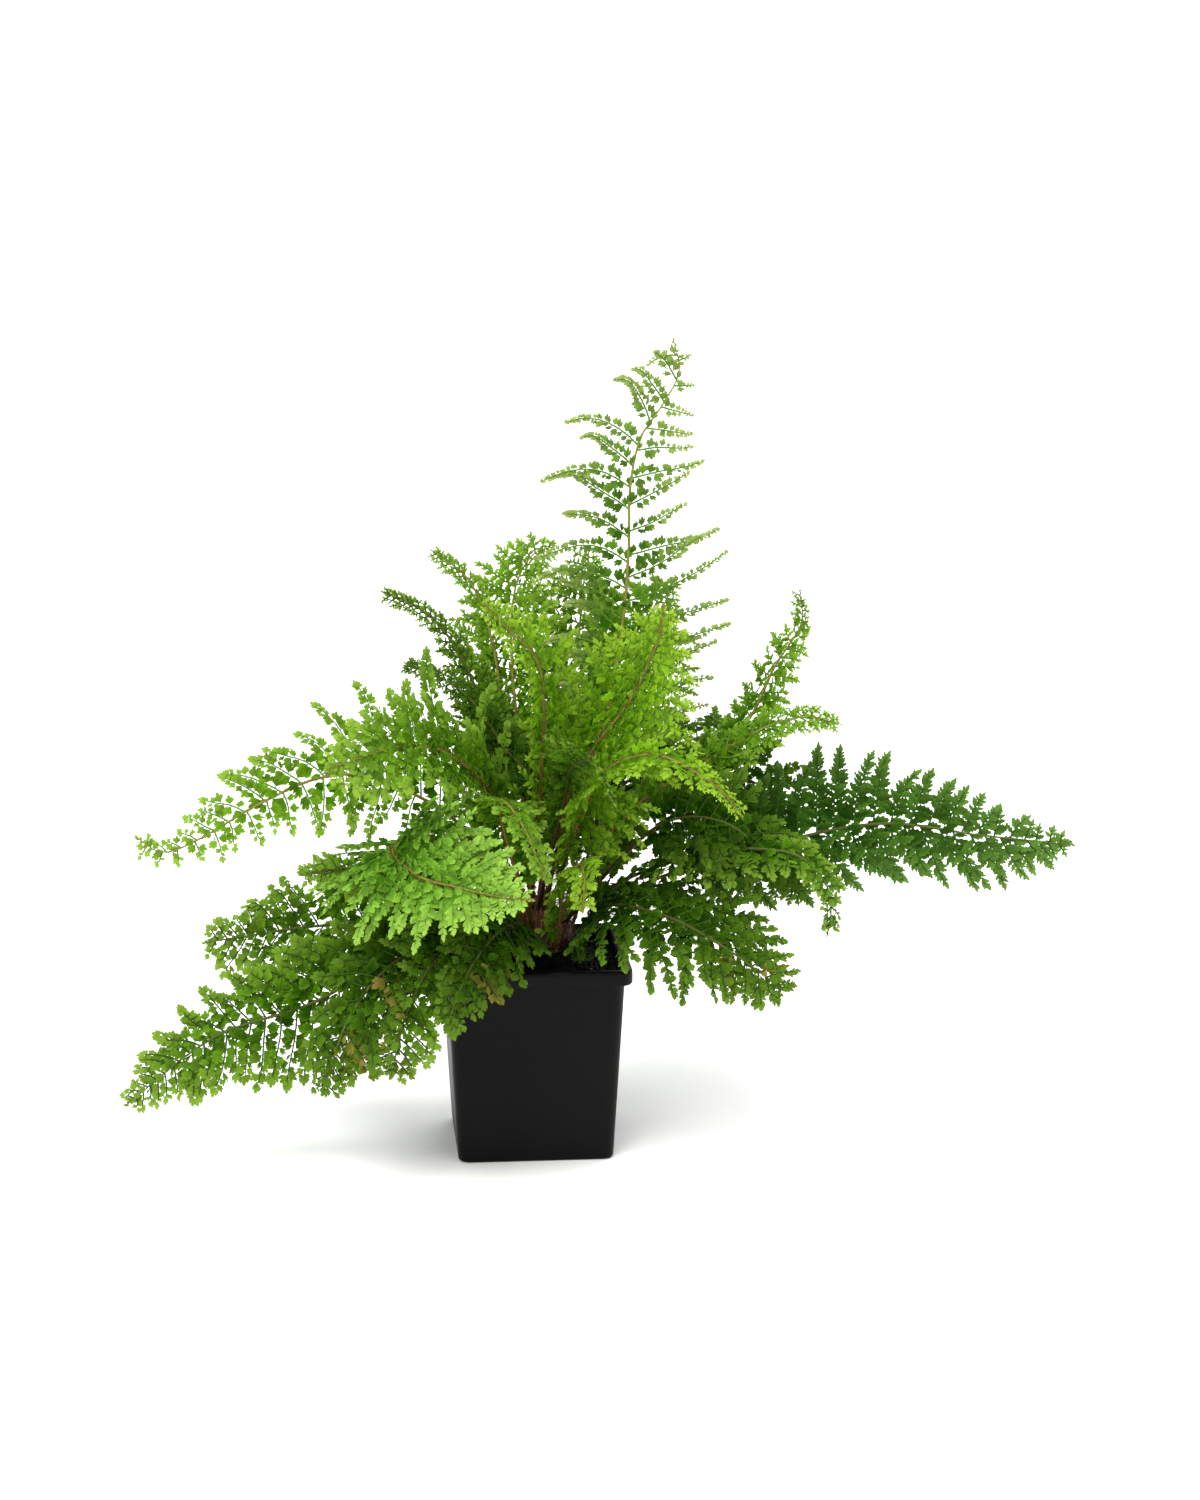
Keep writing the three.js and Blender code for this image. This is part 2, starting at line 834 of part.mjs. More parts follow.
// A pinna as points on a bent centre line: its frame at a share u of its length.
function pinnaFrame(base, hand, plan, u) {
  const lift = plan.lift * RAD;
  const angle = plan.angle * RAD;
  const out = base.side.clone().multiplyScalar(hand * Math.cos(lift));
  out.addScaledVector(base.normal, Math.sin(lift));
  const start = base.tangent.clone().multiplyScalar(Math.cos(angle)).addScaledVector(out, Math.sin(angle));
  const centre = base.centre.clone().addScaledVector(start, plan.length * u);
  centre.z -= plan.sag * plan.length * u * u;
  const tangent = start.clone();
  tangent.z -= 2 * plan.sag * u;
  tangent.normalize();
  const normal = across(base.normal, tangent);
  const forward = normal.clone().cross(tangent).multiplyScalar(hand);
  return { centre, tangent, normal, forward };
}

// Lobes of a pinna: shares along it and half-widths as shares of its own. The back edge faces the stalk.
function lobes(length) {
  if (length > BIG_PINNA) {
    return {
      back: [[0.2, 0.95], [0.42, 0.5], [0.66, 0.8]],
      front: [[0.12, 0.5], [0.34, 1], [0.54, 0.5]],
      lastFront: [0.8, 0.6],
    };
  }
  if (length < SMALL_PINNA) return { back: [[0.4, 0.9]], front: [[0.55, 0.9]] };
  return { back: [[0.26, 0.95], [0.6, 0.5]], front: [[0.2, 0.6], [0.5, 0.95]] };
}

// Space already taken by fronds, in small cells, so that a pinna can be bent clear of its neighbours.
const CELL = 2.5;
const ORIGIN = [-300, -230, 0];
const CELLS = [280, 210, 220];
const taken = new Uint8Array(CELLS[0] * CELLS[1] * CELLS[2]);

function cellOf(point) {
  const i = Math.floor((point.x - ORIGIN[0]) / CELL);
  const j = Math.floor((point.y - ORIGIN[1]) / CELL);
  const k = Math.floor((point.z - ORIGIN[2]) / CELL);
  return (i * CELLS[1] + j) * CELLS[2] + k;
}

function isTaken(points, owner) {
  return points.some((point) => {
    const found = taken[cellOf(point)];
    return found !== 0 && found !== owner;
  });
}

function take(points, owner) {
  for (const point of points) {
    const middle = cellOf(point);
    for (const i of [-1, 0, 1]) {
      for (const j of [-1, 0, 1]) {
        for (const k of [-1, 0, 1]) {
          const cell = middle + (i * CELLS[1] + j) * CELLS[2] + k;
          if (taken[cell] === 0) taken[cell] = owner;
        }
      }
    }
  }
}

// Points all over a pinna, past its root.
const SAMPLE_STEP = 2;
const SAMPLED_FROM = 4;

function pinnaSamples(base, hand, plan) {
  const points = [];
  const steps = Math.ceil(plan.length / SAMPLE_STEP);
  for (let i = 1; i <= steps; i++) {
    const { centre, forward } = pinnaFrame(base, hand, plan, i / steps);
    if (plan.length * (i / steps) < SAMPLED_FROM) continue;
    const half = i === steps ? 0 : plan.half * (1 - 0.3 * (i / steps));
    for (const w of [-1, -0.5, 0, 0.5, 1]) points.push(centre.clone().addScaledVector(forward, w * half));
  }
  return points;
}

// What a pinna tries in turn where another frond is in its way: extra lift in degrees, share of its length.
const DODGES = [
  [0, 1], [12, 1], [-12, 1], [24, 1], [-24, 1], [0, 0.8], [18, 0.8], [-18, 0.8],
  [30, 0.8], [-30, 0.8], [0, 0.6], [25, 0.6], [-25, 0.6], [0, 0.42], [30, 0.42], [-30, 0.42],
];

function choosePinna(base, hand, wanted, owner) {
  for (const [lift, share] of DODGES) {
    const plan = { ...wanted, lift: wanted.lift + lift, length: wanted.length * share };
    if (plan.length < SHORTEST_PINNA) continue;
    const points = pinnaSamples(base, hand, plan);
    if (isTaken(points, owner)) continue;
    take(points, owner);
    return plan;
  }
  return null;
}

function otherSide(frond) {
  const { reach, sag, angle, taper } = frond;
  return {
    reach: frond.otherReach ?? reach,
    sag: frond.otherSag ?? sag,
    angle: frond.otherAngle ?? angle,
    taper: frond.otherTaper ?? taper,
  };
}

// Both pinnae of each pair, or null where there is no room for one.
function planPinnae(frond, rachis, owner) {
  return pinnaStations(frond, rachis.length).map((station, k) => {
    const sides = [1, -1].map((hand) => {
      const s = station.s + (hand < 0 ? station.spacing * STAGGER : 0) + PINNA_ROOT / 2;
      const base = frameAt(rachis, s);
      const jitter = draw(owner, k * 2 + (hand > 0 ? 1 : 0));
      const { reach, sag, angle = PINNA_ANGLE, taper = TAPER } = hand > 0 ? frond : otherSide(frond);
      const share = outline(station.share, taper);
      const wanted = {
        length: Math.max(SHORTEST_PINNA, reach * share * (1 + LENGTH_SPREAD * (jitter - 0.5))),
        half: Math.min(WIDEST_PINNA, station.spacing * 0.36),
        lift: PINNA_LIFT + 8 * (jitter - 0.5),
        sag,
        angle,
      };
      return { hand, s, base, plan: choosePinna(base, hand, wanted, owner) };
    });
    return { ...station, sides };
  });
}

// Adds one pinna to a frond's surface, between two points of the rachis edge, on both faces.
function addPinna(surface, base, hand, plan, root, next) {
  const { back, front, lastFront } = lobes(plan.length);
  const place = ([u, width], edge) => {
    const { centre, normal, forward } = pinnaFrame(base, hand, plan, u);
    centre.addScaledVector(forward, edge * width * plan.half * (1 - 0.25 * u));
    return {
      top: surface.add(centre.clone().addScaledVector(normal, BLADE_HALF)),
      under: surface.add(centre.clone().addScaledVector(normal, -BLADE_HALF)),
    };
  };
  const backEdge = [root, ...back.map((lobe) => place(lobe, -1))];
  const frontEdge = [next, ...front.map((lobe) => place(lobe, 1))];
  const tip = place([1, 0], 0);
  const tipFront = lastFront ? place(lastFront, 1) : null;
  const face = (a, b, c) => {
    surface.triangle(a.top, b.top, c.top);
    surface.triangle(c.under, b.under, a.under);
  };
  const turned = hand > 0 ? face : (a, b, c) => face(c, b, a);
  for (let i = 0; i < backEdge.length - 1; i++) {
    turned(backEdge[i], backEdge[i + 1], frontEdge[i + 1]);
    turned(backEdge[i], frontEdge[i + 1], frontEdge[i]);
  }
  const rim = [...backEdge, tip];
  if (tipFront) {
    turned(backEdge.at(-1), tipFront, frontEdge.at(-1));
    turned(backEdge.at(-1), tip, tipFront);
    rim.push(tipFront);
  } else {
    turned(backEdge.at(-1), tip, frontEdge.at(-1));
  }
  rim.push(...frontEdge.reverse());
  for (let i = 0; i < rim.length - 1; i++) {
    const a = rim[i];
    const b = rim[i + 1];
    if (hand > 0) surface.quad(a.under, b.under, b.top, a.top);
    else surface.quad(b.under, a.under, a.top, b.top);
  }
}

// Half the width of stalk and rachis at a distance from the seat.
function stalkHalf(s, length) {
  return STALK_HALF + (RACHIS_HALF - STALK_HALF) * Math.min(1, s / (length * 0.8));
}

// One frond: a flat bar along stalk and rachis, with a toothed pinna on each side at each station.
function makeFrond(rachis, pairs) {
  const surface = new Surface();
  const { length } = rachis;
  const edgePoint = (s, hand) => {
    const { centre, normal, side } = frameAt(rachis, s);
    const half = stalkHalf(s, length);
    const point = centre.addScaledVector(side, hand * half);
    return {
      top: surface.add(point.clone().addScaledVector(normal, half * 0.9)),
      under: surface.add(point.clone().addScaledVector(normal, -half * 0.9)),
    };
  };
  // Cross-lines of the bar: one list for each edge, and the pinna that starts at each.
  const edges = { 1: [], "-1": [] };
  const starts = { 1: [], "-1": [] };
  const seatAndStalk = [0, SEAT_DEPTH];
  const leafStart = pairs[0].s - PINNA_ROOT;
  for (let i = 1; i <= STALK_STEPS; i++) {
    seatAndStalk.push(SEAT_DEPTH + ((leafStart - SEAT_DEPTH) * i) / STALK_STEPS);
  }
  for (const hand of [1, -1]) {
    for (const s of seatAndStalk) edges[hand].push(edgePoint(s, hand));
    for (const pair of pairs) {
      const pinna = pair.sides.find((side) => side.hand === hand);
      starts[hand][edges[hand].length] = pinna;
      edges[hand].push(edgePoint(pinna.s - PINNA_ROOT / 2, hand));
      edges[hand].push(edgePoint(pinna.s + PINNA_ROOT / 2, hand));
    }
  }
  const count = edges[1].length;
  const end = frameAt(rachis, length);
  const tip = {
    top: surface.add(end.centre.clone().addScaledVector(end.normal, BLADE_HALF)),
    under: surface.add(end.centre.clone().addScaledVector(end.normal, -BLADE_HALF)),
  };
  const first = [edges[1][0], edges["-1"][0]];
  surface.quad(first[0].under, first[0].top, first[1].top, first[1].under);
  for (let i = 0; i < count - 1; i++) {
    const [a, b] = [edges[1][i], edges[1][i + 1]];
    const [d, c] = [edges["-1"][i], edges["-1"][i + 1]];
    surface.quad(a.top, b.top, c.top, d.top);
    surface.quad(d.under, c.under, b.under, a.under);
    const right = starts[1][i];
    const left = starts["-1"][i];
    if (right && right.plan) addPinna(surface, right.base, 1, right.plan, a, b);
    else surface.quad(a.under, b.under, b.top, a.top);
    if (left && left.plan) addPinna(surface, left.base, -1, left.plan, d, c);
    else surface.quad(c.under, d.under, d.top, c.top);
  }
  const [p, q] = [edges[1][count - 1], edges["-1"][count - 1]];
  surface.triangle(p.top, tip.top, q.top);
  surface.triangle(q.under, tip.under, p.under);
  surface.quad(p.under, tip.under, tip.top, p.top);
  surface.quad(tip.under, q.under, q.top, tip.top);
  return surface.geometry();
}

// ---------------------------------------------------------------- the plant

function addMesh(group, name, geometry, colour, roughness) {
  const material = new THREE.MeshStandardMaterial({ color: colour, roughness, metalness: 0 });
  const mesh = new THREE.Mesh(geometry, material);
  mesh.name = name;
  group.add(mesh);
}

const fern = new THREE.Group();
fern.name = "potted_fern";
addMesh(fern, "pot", makePot(), POT_BLACK, 0.45);
addMesh(fern, "soil", makeSoil(), SOIL_BLACK, 0.95);
addMesh(fern, "crown", makeCrown(), ROOT_BROWN, 0.9);

const rachises = FRONDS.map(rachisOf);
rachises.forEach((rachis, i) => take(rachis.centres, i + 1));
FRONDS.forEach((frond, i) => {
  const pairs = planPinnae(frond, rachises[i], i + 1);
  addMesh(fern, frond.name, makeFrond(rachises[i], pairs), frond.colour, 0.6);
});

export default fern;
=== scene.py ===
"""A potted fern, dressed over its CAD frame: lacy fronds of small toothed leaflets, a scaly rootstock,
crumbly potting mix and a satin black nursery pot. Shapes are worked out in millimetres and built in
metres."""

import math

import bpy
import numpy as np
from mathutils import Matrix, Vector, noise


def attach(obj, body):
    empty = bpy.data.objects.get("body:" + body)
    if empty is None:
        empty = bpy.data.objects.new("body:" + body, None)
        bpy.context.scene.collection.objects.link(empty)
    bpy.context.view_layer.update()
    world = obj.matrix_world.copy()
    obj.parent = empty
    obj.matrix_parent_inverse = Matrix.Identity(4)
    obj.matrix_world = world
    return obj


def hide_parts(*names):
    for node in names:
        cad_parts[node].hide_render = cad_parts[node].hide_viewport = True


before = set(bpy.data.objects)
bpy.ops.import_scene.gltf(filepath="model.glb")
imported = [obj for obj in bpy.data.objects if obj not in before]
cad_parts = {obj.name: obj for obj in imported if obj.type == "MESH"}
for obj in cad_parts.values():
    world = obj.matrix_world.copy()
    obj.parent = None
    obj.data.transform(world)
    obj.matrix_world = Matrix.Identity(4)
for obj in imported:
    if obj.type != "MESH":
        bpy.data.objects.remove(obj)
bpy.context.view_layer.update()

MM = 0.001
BODY = "root"

# Pot and soil, as in the CAD source.
POT_WIDTH = 117
POT_HEIGHT = 122
POT_FOOT = 95
POT_WALL = 1.5
POT_FLOOR = 2.4
RIM_HEIGHT = 10
RIM_OVERHANG = 3.8
RIM_ROUND = 2.2
CORNER_RADIUS = 9
DRAIN_RADIUS = 5
DRAIN_OFFSET = 24
SOIL_TOP = 112
SOIL_MOUND = 5
CROWN_X = 4
CROWN_HEIGHT = 150

# Fronds, as in the CAD source.
STALK_HALF = 1.1
RACHIS_HALF = 0.6
PINNA_ROOT = 2.6
PINNA_ANGLE = 68
TAPER = 1.8
TIP_DROP = 0.98
LEAFY_END = 0.97
SEAT_DEPTH = 5
SHORTEST = 7
PINNA_LIFT = 8
NARROWS = 0.3
WIDEST_HALF = 6
TIERS = [(127, 23, 25), (139, 17.5, 50), (147, 9, 72)]  # height, distance from the axis, slope in degrees

# What only this script adds to a pinna: its bend towards the frond's tip, its ripples, the shortest one,
# at that tip, and how far its measures stray, as shares of its length or of its spacing or in degrees.
SWAY = 0.1
WAVES = 6
TIP_PINNA = 4
LAST_PINNA = 0.985
LENGTH_STRAYS = 0.34
ANGLE_STRAYS = 14
SWAY_STRAYS = 0.36
ARCH_STRAYS = 0.3
WAVE_STRAYS = 0.09
GAP_STRAYS = 0.32

# Camera, fitted to the photograph: the whole frame is 1200 x 1500 pixels.
FRAME_HEIGHT_PX = 1500
FOCAL_PX = 3607
CAMERA_AZIMUTH = -5
CAMERA_PITCH = 12
CAMERA_DISTANCE = 2200
TARGET_RIGHT = 42.8
TARGET_HEIGHT = 246.9


def frond_row(name, slot, leaf, seat, face, reach, path, **more):
    """A row of the table of fronds, with the pairs of pinnae, bare share and sag that most of them have."""
    row = dict(pairs=8, bare=0.2, sag=0.15, slot=slot, leaf=leaf, seat=seat, face=face)
    return dict(row, name="frond_" + name, reach=reach, path=path, **more)


# The fronds, as in the CAD source: name, slot, kind of leaflets, seat (azimuth in degrees and tier on the
# crown), where the upper side looks, the longest pinna, and the points that the rachis runs through.
# bare: share of the length without pinnae. sag: how far pinnae droop. angle: between pinna and rachis.
# taper: how full the outline stays. other_: the same for the left hand's pinnae. Only this script has the
# leaflets, worn, the share of brown pinnae, and tone, a colour that isn't the slot's own.
FRONDS = [
    frond_row(
        "front_left_face", "bright", "dense", (232, 1), (-0.35, -0.9, 0.2), 62,
        [
            (-54, -30, 198), (-86, -72, 204), (-72, -104, 195), (-51, -124, 193), (-29, -140, 191),
            (-9, -150, 191),
        ],
        other_reach=68, pairs=11, bare=0.3, sag=0.1, taper=1.0, tone="mint",
    ),
    frond_row(
        "centre_right", "bright", "fine", (300, 2), (-0.5, -0.8, 0.3), 62,
        [(20, -22, 212), (34, -38, 252), (56, -50, 286), (72, -56, 322), (76, -56, 346)],
        other_reach=48, pairs=10, bare=0.18,
    ),
    frond_row(
        "centre_left", "bright", "fine", (250, 2), (0.5, -0.7, 0.5), 40,
        [(4, -36, 230), (4, -60, 292), (-2, -70, 318), (-18, -78, 336), (-32, -82, 352)],
        other_reach=16, pairs=9, bare=0.25,
    ),
    frond_row(
        "front_middle", "fresh", "dense", (258, 1), (0, -0.5, 0.9), 26,
        [(-18, -44, 203), (-23, -84, 235), (-12, -112, 226), (1, -128, 195)],
        pairs=9, bare=0.15, taper=1.2,
    ),
    frond_row(
        "front_left_high", "bright", "fan", (200, 2), (-0.2, -0.7, 0.7), 39,
        [(-18, -28, 210), (-47, -64, 255), (-80, -96, 271), (-125, -120, 263)],
        bare=0.15, angle=64, taper=2.6, tone="fresh",
    ),
    frond_row(
        "left_high", "fresh", "open", (172, 1), (0.1, -0.85, 0.5), 92,
        [
            (-40, -12, 200), (-90, -16, 233), (-126, -17, 236), (-163, -16, 221), (-200, -13, 199),
            (-223, -11, 190), (-239, -9, 199),
        ],
        other_reach=34, pairs=15, bare=0.1, sag=0.1, other_sag=0.2, angle=62, other_angle=92, taper=0.5,
        other_taper=1.0,
    ),
    frond_row(
        "top", "mid", "airy", (0, 2), (0, -1, 0.1), 72,
        [
            (36, 2, 234), (55, 8, 307), (61, 10, 362), (62, 10, 404), (68, 10, 435), (80, 8, 454),
            (91, 4, 476), (87, 0, 496),
        ],
        other_reach=66, pairs=14, bare=0.25, sag=0.02, other_sag=0.5, angle=70, other_angle=56, taper=1.0,
        other_taper=4.5, tone="pale",
    ),
    frond_row(
        "right_long", "dark", "broad", (355, 0), (0, -0.9, 0.4), 43,
        [(64, -6, 160), (134, -12, 184), (210, -24, 202), (272, -34, 196), (328, -44, 191)],
        other_reach=50, pairs=15, bare=0.28, sag=0.05, angle=58, other_angle=80, taper=2.4, other_taper=1.0,
        tone="cool",
    ),
    frond_row(
        "left_low", "mid", "fan", (200, 0), (0, -0.85, 0.5), 39,
        [(-68, -31, 137), (-132, -44, 104), (-194, -48, 84), (-248, -48, 43)],
        other_reach=44, pairs=13, sag=0.1, other_taper=1.2,
    ),
    frond_row(
        "right_low", "dark", "small", (325, 0), (0.2, -0.8, 0.6), 50,
        [(42, -48, 160), (76, -80, 161), (109, -100, 146), (142, -116, 124)],
        other_reach=46, pairs=9, bare=0.03, angle=56, taper=2.4, worn=0.02,
    ),
    frond_row(
        "right_droop", "mid", "small", (318, 1), (-0.2, -0.5, 0.85), 32,
        [(60, -38, 176), (110, -66, 197), (148, -86, 200), (167, -94, 186), (172, -96, 168), (170, -96, 152)],
        pairs=9, bare=0.32, sag=0.2, taper=0.6,
    ),
    frond_row(
        "front_right", "bright", "fine", (285, 1), (0.1, -0.5, 0.85), 26,
        [(24, -46, 208), (40, -78, 250), (68, -102, 264), (100, -114, 248), (116, -118, 230)],
        pairs=9, taper=1.3,
    ),
    frond_row(
        "upright_right", "fresh", "fine", (30, 1), (-0.7, -0.5, 0.4), 28,
        [(66, 20, 210), (130, 24, 250), (154, 26, 292), (169, 22, 318), (167, 14, 341)],
        other_reach=20, pairs=9, bare=0.3, sag=0.1,
    ),
    frond_row(
        "right_short", "fresh", "fine", (350, 1), (-0.3, -0.6, 0.7), 20,
        [(56, 0, 202), (106, -8, 238), (142, -18, 262), (166, -23, 269), (187, -26, 265)],
        other_reach=17, bare=0.15, sag=0.1, angle=56, taper=4,
    ),
    frond_row(
        "back_left_high", "fresh", "fine", (110, 2), (-0.2, -1, 0.2), 44,
        [(-4, 30, 234), (-8, 48, 300), (-5, 58, 336), (6, 62, 357), (20, 60, 363)],
        sag=0.2,
    ),
    frond_row(
        "back_left_upper", "fresh", "feather", (150, 2), (0.2, -0.95, 0.3), 46,
        [(-14, 28, 228), (-16, 42, 280), (-23, 48, 318), (-34, 51, 344), (-57, 52, 363)],
        other_reach=36, sag=0.2, angle=46, taper=0.45,
    ),
    frond_row(
        "back_left", "fresh", "feather", (130, 1), (0.2, -0.9, 0.4), 46,
        [(-18, 20, 220), (-29, 30, 273), (-44, 34, 306), (-62, 37, 327), (-88, 38, 340)],
        other_reach=36, sag=0.2, angle=46, taper=0.45, tone="mid",
    ),
    frond_row(
        "left_middle", "bright", "dense", (205, 1), (0, -0.7, 0.7), 27,
        [(-45, -20, 169), (-84, -30, 181), (-112, -36, 184), (-141, -38, 181)],
        bare=0.15, sag=0.1, tone="mid",
    ),
    frond_row(
        "left_back_low", "mid", "fan", (165, 0), (0, -0.7, 0.7), 42,
        [(-58, 8, 136), (-126, 20, 134), (-172, 30, 126), (-201, 34, 121)],
        other_reach=38, bare=0.15, sag=0.1, taper=2.2, worn=0.03,
    ),
    frond_row(
        "left_front_low", "dark", "fan", (225, 0), (-0.3, -0.8, 0.5), 38,
        [(-48, -44, 142), (-88, -76, 134), (-114, -92, 106), (-130, -96, 62)],
        bare=0.1, worn=0.12,
    ),
    frond_row(
        "front_left_low", "mid", "fan", (248, 0), (-0.2, -0.9, 0.4), 32,
        [(-34, -48, 144), (-62, -84, 138), (-80, -102, 112), (-90, -106, 74)],
        bare=0.1, worn=0.16,
    ),
    frond_row(
        "front_low", "dark", "fan", (268, 0), (0, -0.9, 0.4), 28,
        [(-8, -48, 150), (-26, -82, 153), (-44, -104, 136), (-57, -112, 107)],
        pairs=7, bare=0.12, worn=0.08,
    ),
    frond_row(
        "front_small", "bright", "dense", (290, 0), (0, -0.6, 0.8), 15,
        [(18, -44, 174), (24, -70, 191), (26, -90, 188), (24, -98, 170)],
        pairs=7, bare=0.15,
    ),
    frond_row(
        "back_right", "dark", "small", (35, 0), (0, -0.7, 0.7), 38,
        [(44, 36, 190), (76, 66, 221), (114, 90, 234), (151, 106, 235)],
        sag=0.2,
    ),
    frond_row(
        "back_middle", "mid", "broad", (80, 1), (0, 0.1, 1), 44,
        [(16, 54, 202), (24, 118, 236), (30, 178, 226), (34, 226, 188)],
        pairs=6, sag=0.2,
    ),
    frond_row(
        "back_left_low", "dark", "broad", (130, 0), (-0.1, 0.1, 1), 40,
        [(-34, 50, 156), (-66, 104, 160), (-92, 144, 140), (-110, 170, 104)],
        pairs=6, sag=0.2,
    ),
    frond_row(
        "back_right_low", "mid", "broad", (65, 0), (0.1, 0.1, 1), 38,
        [(36, 56, 140), (78, 118, 128), (110, 166, 100), (134, 200, 62)],
        pairs=7, sag=0.2,
    ),
    frond_row(
        "right_middle", "dark", "small", (12, 1), (0, -0.9, 0.4), 40,
        [(50, 6, 186), (80, 16, 216), (116, 20, 226), (146, 18, 216), (162, 10, 186)],
        other_reach=30, bare=0.5,
    ),
    frond_row(
        "right_inner", "dark", "small", (338, 1), (0.1, -0.8, 0.5), 36,
        [(52, -24, 182), (80, -48, 212), (112, -64, 214), (138, -70, 193), (159, -74, 170)],
        bare=0.42,
    ),
    frond_row(
        "centre_back", "fresh", "fine", (60, 2), (0, -1, 0.2), 54,
        [(36, 28, 216), (54, 48, 265), (72, 58, 306), (92, 60, 341)],
        pairs=7, bare=0.25, sag=0.2,
    ),
    frond_row(
        "centre_back_left", "fresh", "fine", (80, 2), (0, -1, 0.2), 46,
        [(20, 36, 222), (30, 68, 261), (37, 80, 308), (42, 84, 358)],
        pairs=7, bare=0.25, sag=0.2,
    ),
    frond_row(
        "centre_dark", "dark", "feather", (180, 2), (0.2, -0.9, 0.3), 36,
        [(4, 4, 216), (-16, 10, 248), (-34, 13, 275), (-55, 14, 291), (-75, 12, 300)],
        other_reach=28, pairs=7, angle=52, taper=0.5,
    ),
    frond_row(
        "front_inner", "mid", "fine", (276, 2), (0.1, -0.6, 0.8), 30,
        [(18, -44, 226), (20, -74, 252), (30, -102, 260), (42, -114, 238)],
        pairs=7,
    ),
]

rng = np.random.default_rng(11)


def draw(i, j):
    """The CAD source's own repeatable number from 0 to 1."""
    x = math.sin(i * 12.9898 + j * 78.233) * 43758.5453
    return x - math.floor(x)


def stray(amount, count=None):
    """Random departures, each up to half the amount either way."""
    return amount * (rng.random(count) - 0.5)


def unit(v):
    return v / np.linalg.norm(v, axis=-1, keepdims=True)


# ---- meshes from arrays


def new_mesh(name, verts, faces, material, smooth=True, layers=None):
    """A mesh object from vertices in millimetres and lists of faces, with vector layers on its points."""
    mesh = bpy.data.meshes.new(name)
    loops = np.concatenate([f.ravel() for f in faces])
    sizes = np.concatenate([np.full(len(f), f.shape[1]) for f in faces])
    mesh.vertices.add(len(verts))
    mesh.vertices.foreach_set("co", (verts * MM).astype(np.float32).ravel())
    mesh.loops.add(len(loops))
    mesh.loops.foreach_set("vertex_index", loops.astype(np.int32))
    mesh.polygons.add(len(sizes))
    starts = np.concatenate([[0], np.cumsum(sizes)[:-1]])
    mesh.polygons.foreach_set("loop_start", starts.astype(np.int32))
    mesh.polygons.foreach_set("use_smooth", np.full(len(sizes), smooth))
    mesh.update(calc_edges=True)
    for layer, values in (layers or {}).items():
        made = mesh.attributes.new(layer, "FLOAT_VECTOR", "POINT")
        made.data.foreach_set("vector", values.astype(np.float32).ravel())
    mesh.materials.append(material)
    return link(name, mesh)


def link(name, data):
    obj = bpy.data.objects.new(name, data)
    bpy.context.scene.collection.objects.link(obj)
    return obj


def place(obj, slot, *nodes):
    """Fixes a piece to the body and hides the CAD nodes that it stands for. slot: not used."""
    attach(obj, BODY)
    if nodes:
        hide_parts(*nodes)


class Soup:
    """Collects vertices, faces and one vector layer of many small shapes for one mesh."""

    def __init__(self):
        self.verts = []
        self.faces = {3: [], 4: []}
        self.marks = []
        self.count = 0

    def add(self, verts, faces, marks):
        verts = np.asarray(verts, float).reshape(-1, 3)
        for f in faces:
            if len(f):
                self.faces[f.shape[1]].append(f + self.count)
        self.verts.append(verts)
        self.marks.append(np.broadcast_to(marks, (len(verts), 3)))
        self.count += len(verts)

    def build(self, name, material, layer):
        faces = [np.concatenate(f) for f in self.faces.values() if f]
        marks = {layer: np.concatenate(self.marks)}
        return new_mesh(name, np.concatenate(self.verts), faces, material, layers=marks)


def tube(centres, normals, sides, radii, count):
    """Vertices and quads of an open tube round a line."""
    angles = np.arange(count) / count * 2 * np.pi
    cos, sin = np.cos(angles)[None, :, None], np.sin(angles)[None, :, None]
    ring = cos * sides[:, None, :] + sin * normals[:, None, :]
    verts = centres[:, None, :] + ring * np.asarray(radii)[:, None, None]
    return verts.reshape(-1, 3), grid_faces(len(centres), count)


def grid_faces(rows, count):
    """Quads between successive rings of the same count."""
    a = np.arange(rows - 1)[:, None] * count + np.arange(count)[None, :]
    b = np.arange(rows - 1)[:, None] * count + (np.arange(count)[None, :] + 1) % count
    return np.stack([a, b, b + count, a + count], -1).reshape(-1, 4)


def closed_rings(rings):
    """Vertices and faces of a solid of rings with a flat face at each end."""
    count = len(rings[0])
    last = (len(rings) - 1) * count
    ends = [np.arange(count)[::-1][None, :], last + np.arange(count)[None, :]]
    return np.concatenate(rings), [grid_faces(len(rings), count)] + ends


def plant_marks(chance, share, kind):
    """The vector layer that the stem and crown materials read."""
    return np.stack(np.broadcast_arrays(chance, share, kind), -1)


# ---- frond paths, as in the CAD source

FRAMES = 120
CURVE_STEPS = 24
LEAD_IN = 1.2  # how firmly the stalk leaves its seat straight
FACE_AT = 0.55  # where along the rachis the upper side looks as the row says
SHOULDER = 0.2  # the share of the leafy part before the longest pinnae
FIRST_REACH = 0.72
REACH_RISE = 1.4
EASE = 0.35  # pinnae stand closer towards the tip
LATE_HAND = 0.45  # how far the left hand's pinnae follow the right hand's, as a share of the spacing
HALF_OF_SPACING = 0.36


def seat_of(frond):
    """Where a stalk leaves the crown, and in which direction."""
    azimuth, tier = frond["seat"]
    z, radius, slope = TIERS[tier]
    out = np.array([math.cos(math.radians(azimuth)), math.sin(math.radians(azimuth)), 0.0])
    point = out * radius + np.array([CROWN_X, 0, z])
    direction = out * math.cos(math.radians(slope)) + np.array([0, 0, math.sin(math.radians(slope))])
    return point, direction


def catmull_rom(a, b, c, d, t):
    t = t[:, None]
    return 0.5 * (2 * b + (c - a) * t + (2 * a - 5 * b + 4 * c - d) * t**2 + (3 * b - a - 3 * c + d) * t**3)


def across(vector, tangent):
    """The direction nearest to a vector that stands square to the tangent."""
    return unit(vector - tangent * np.dot(vector, tangent))


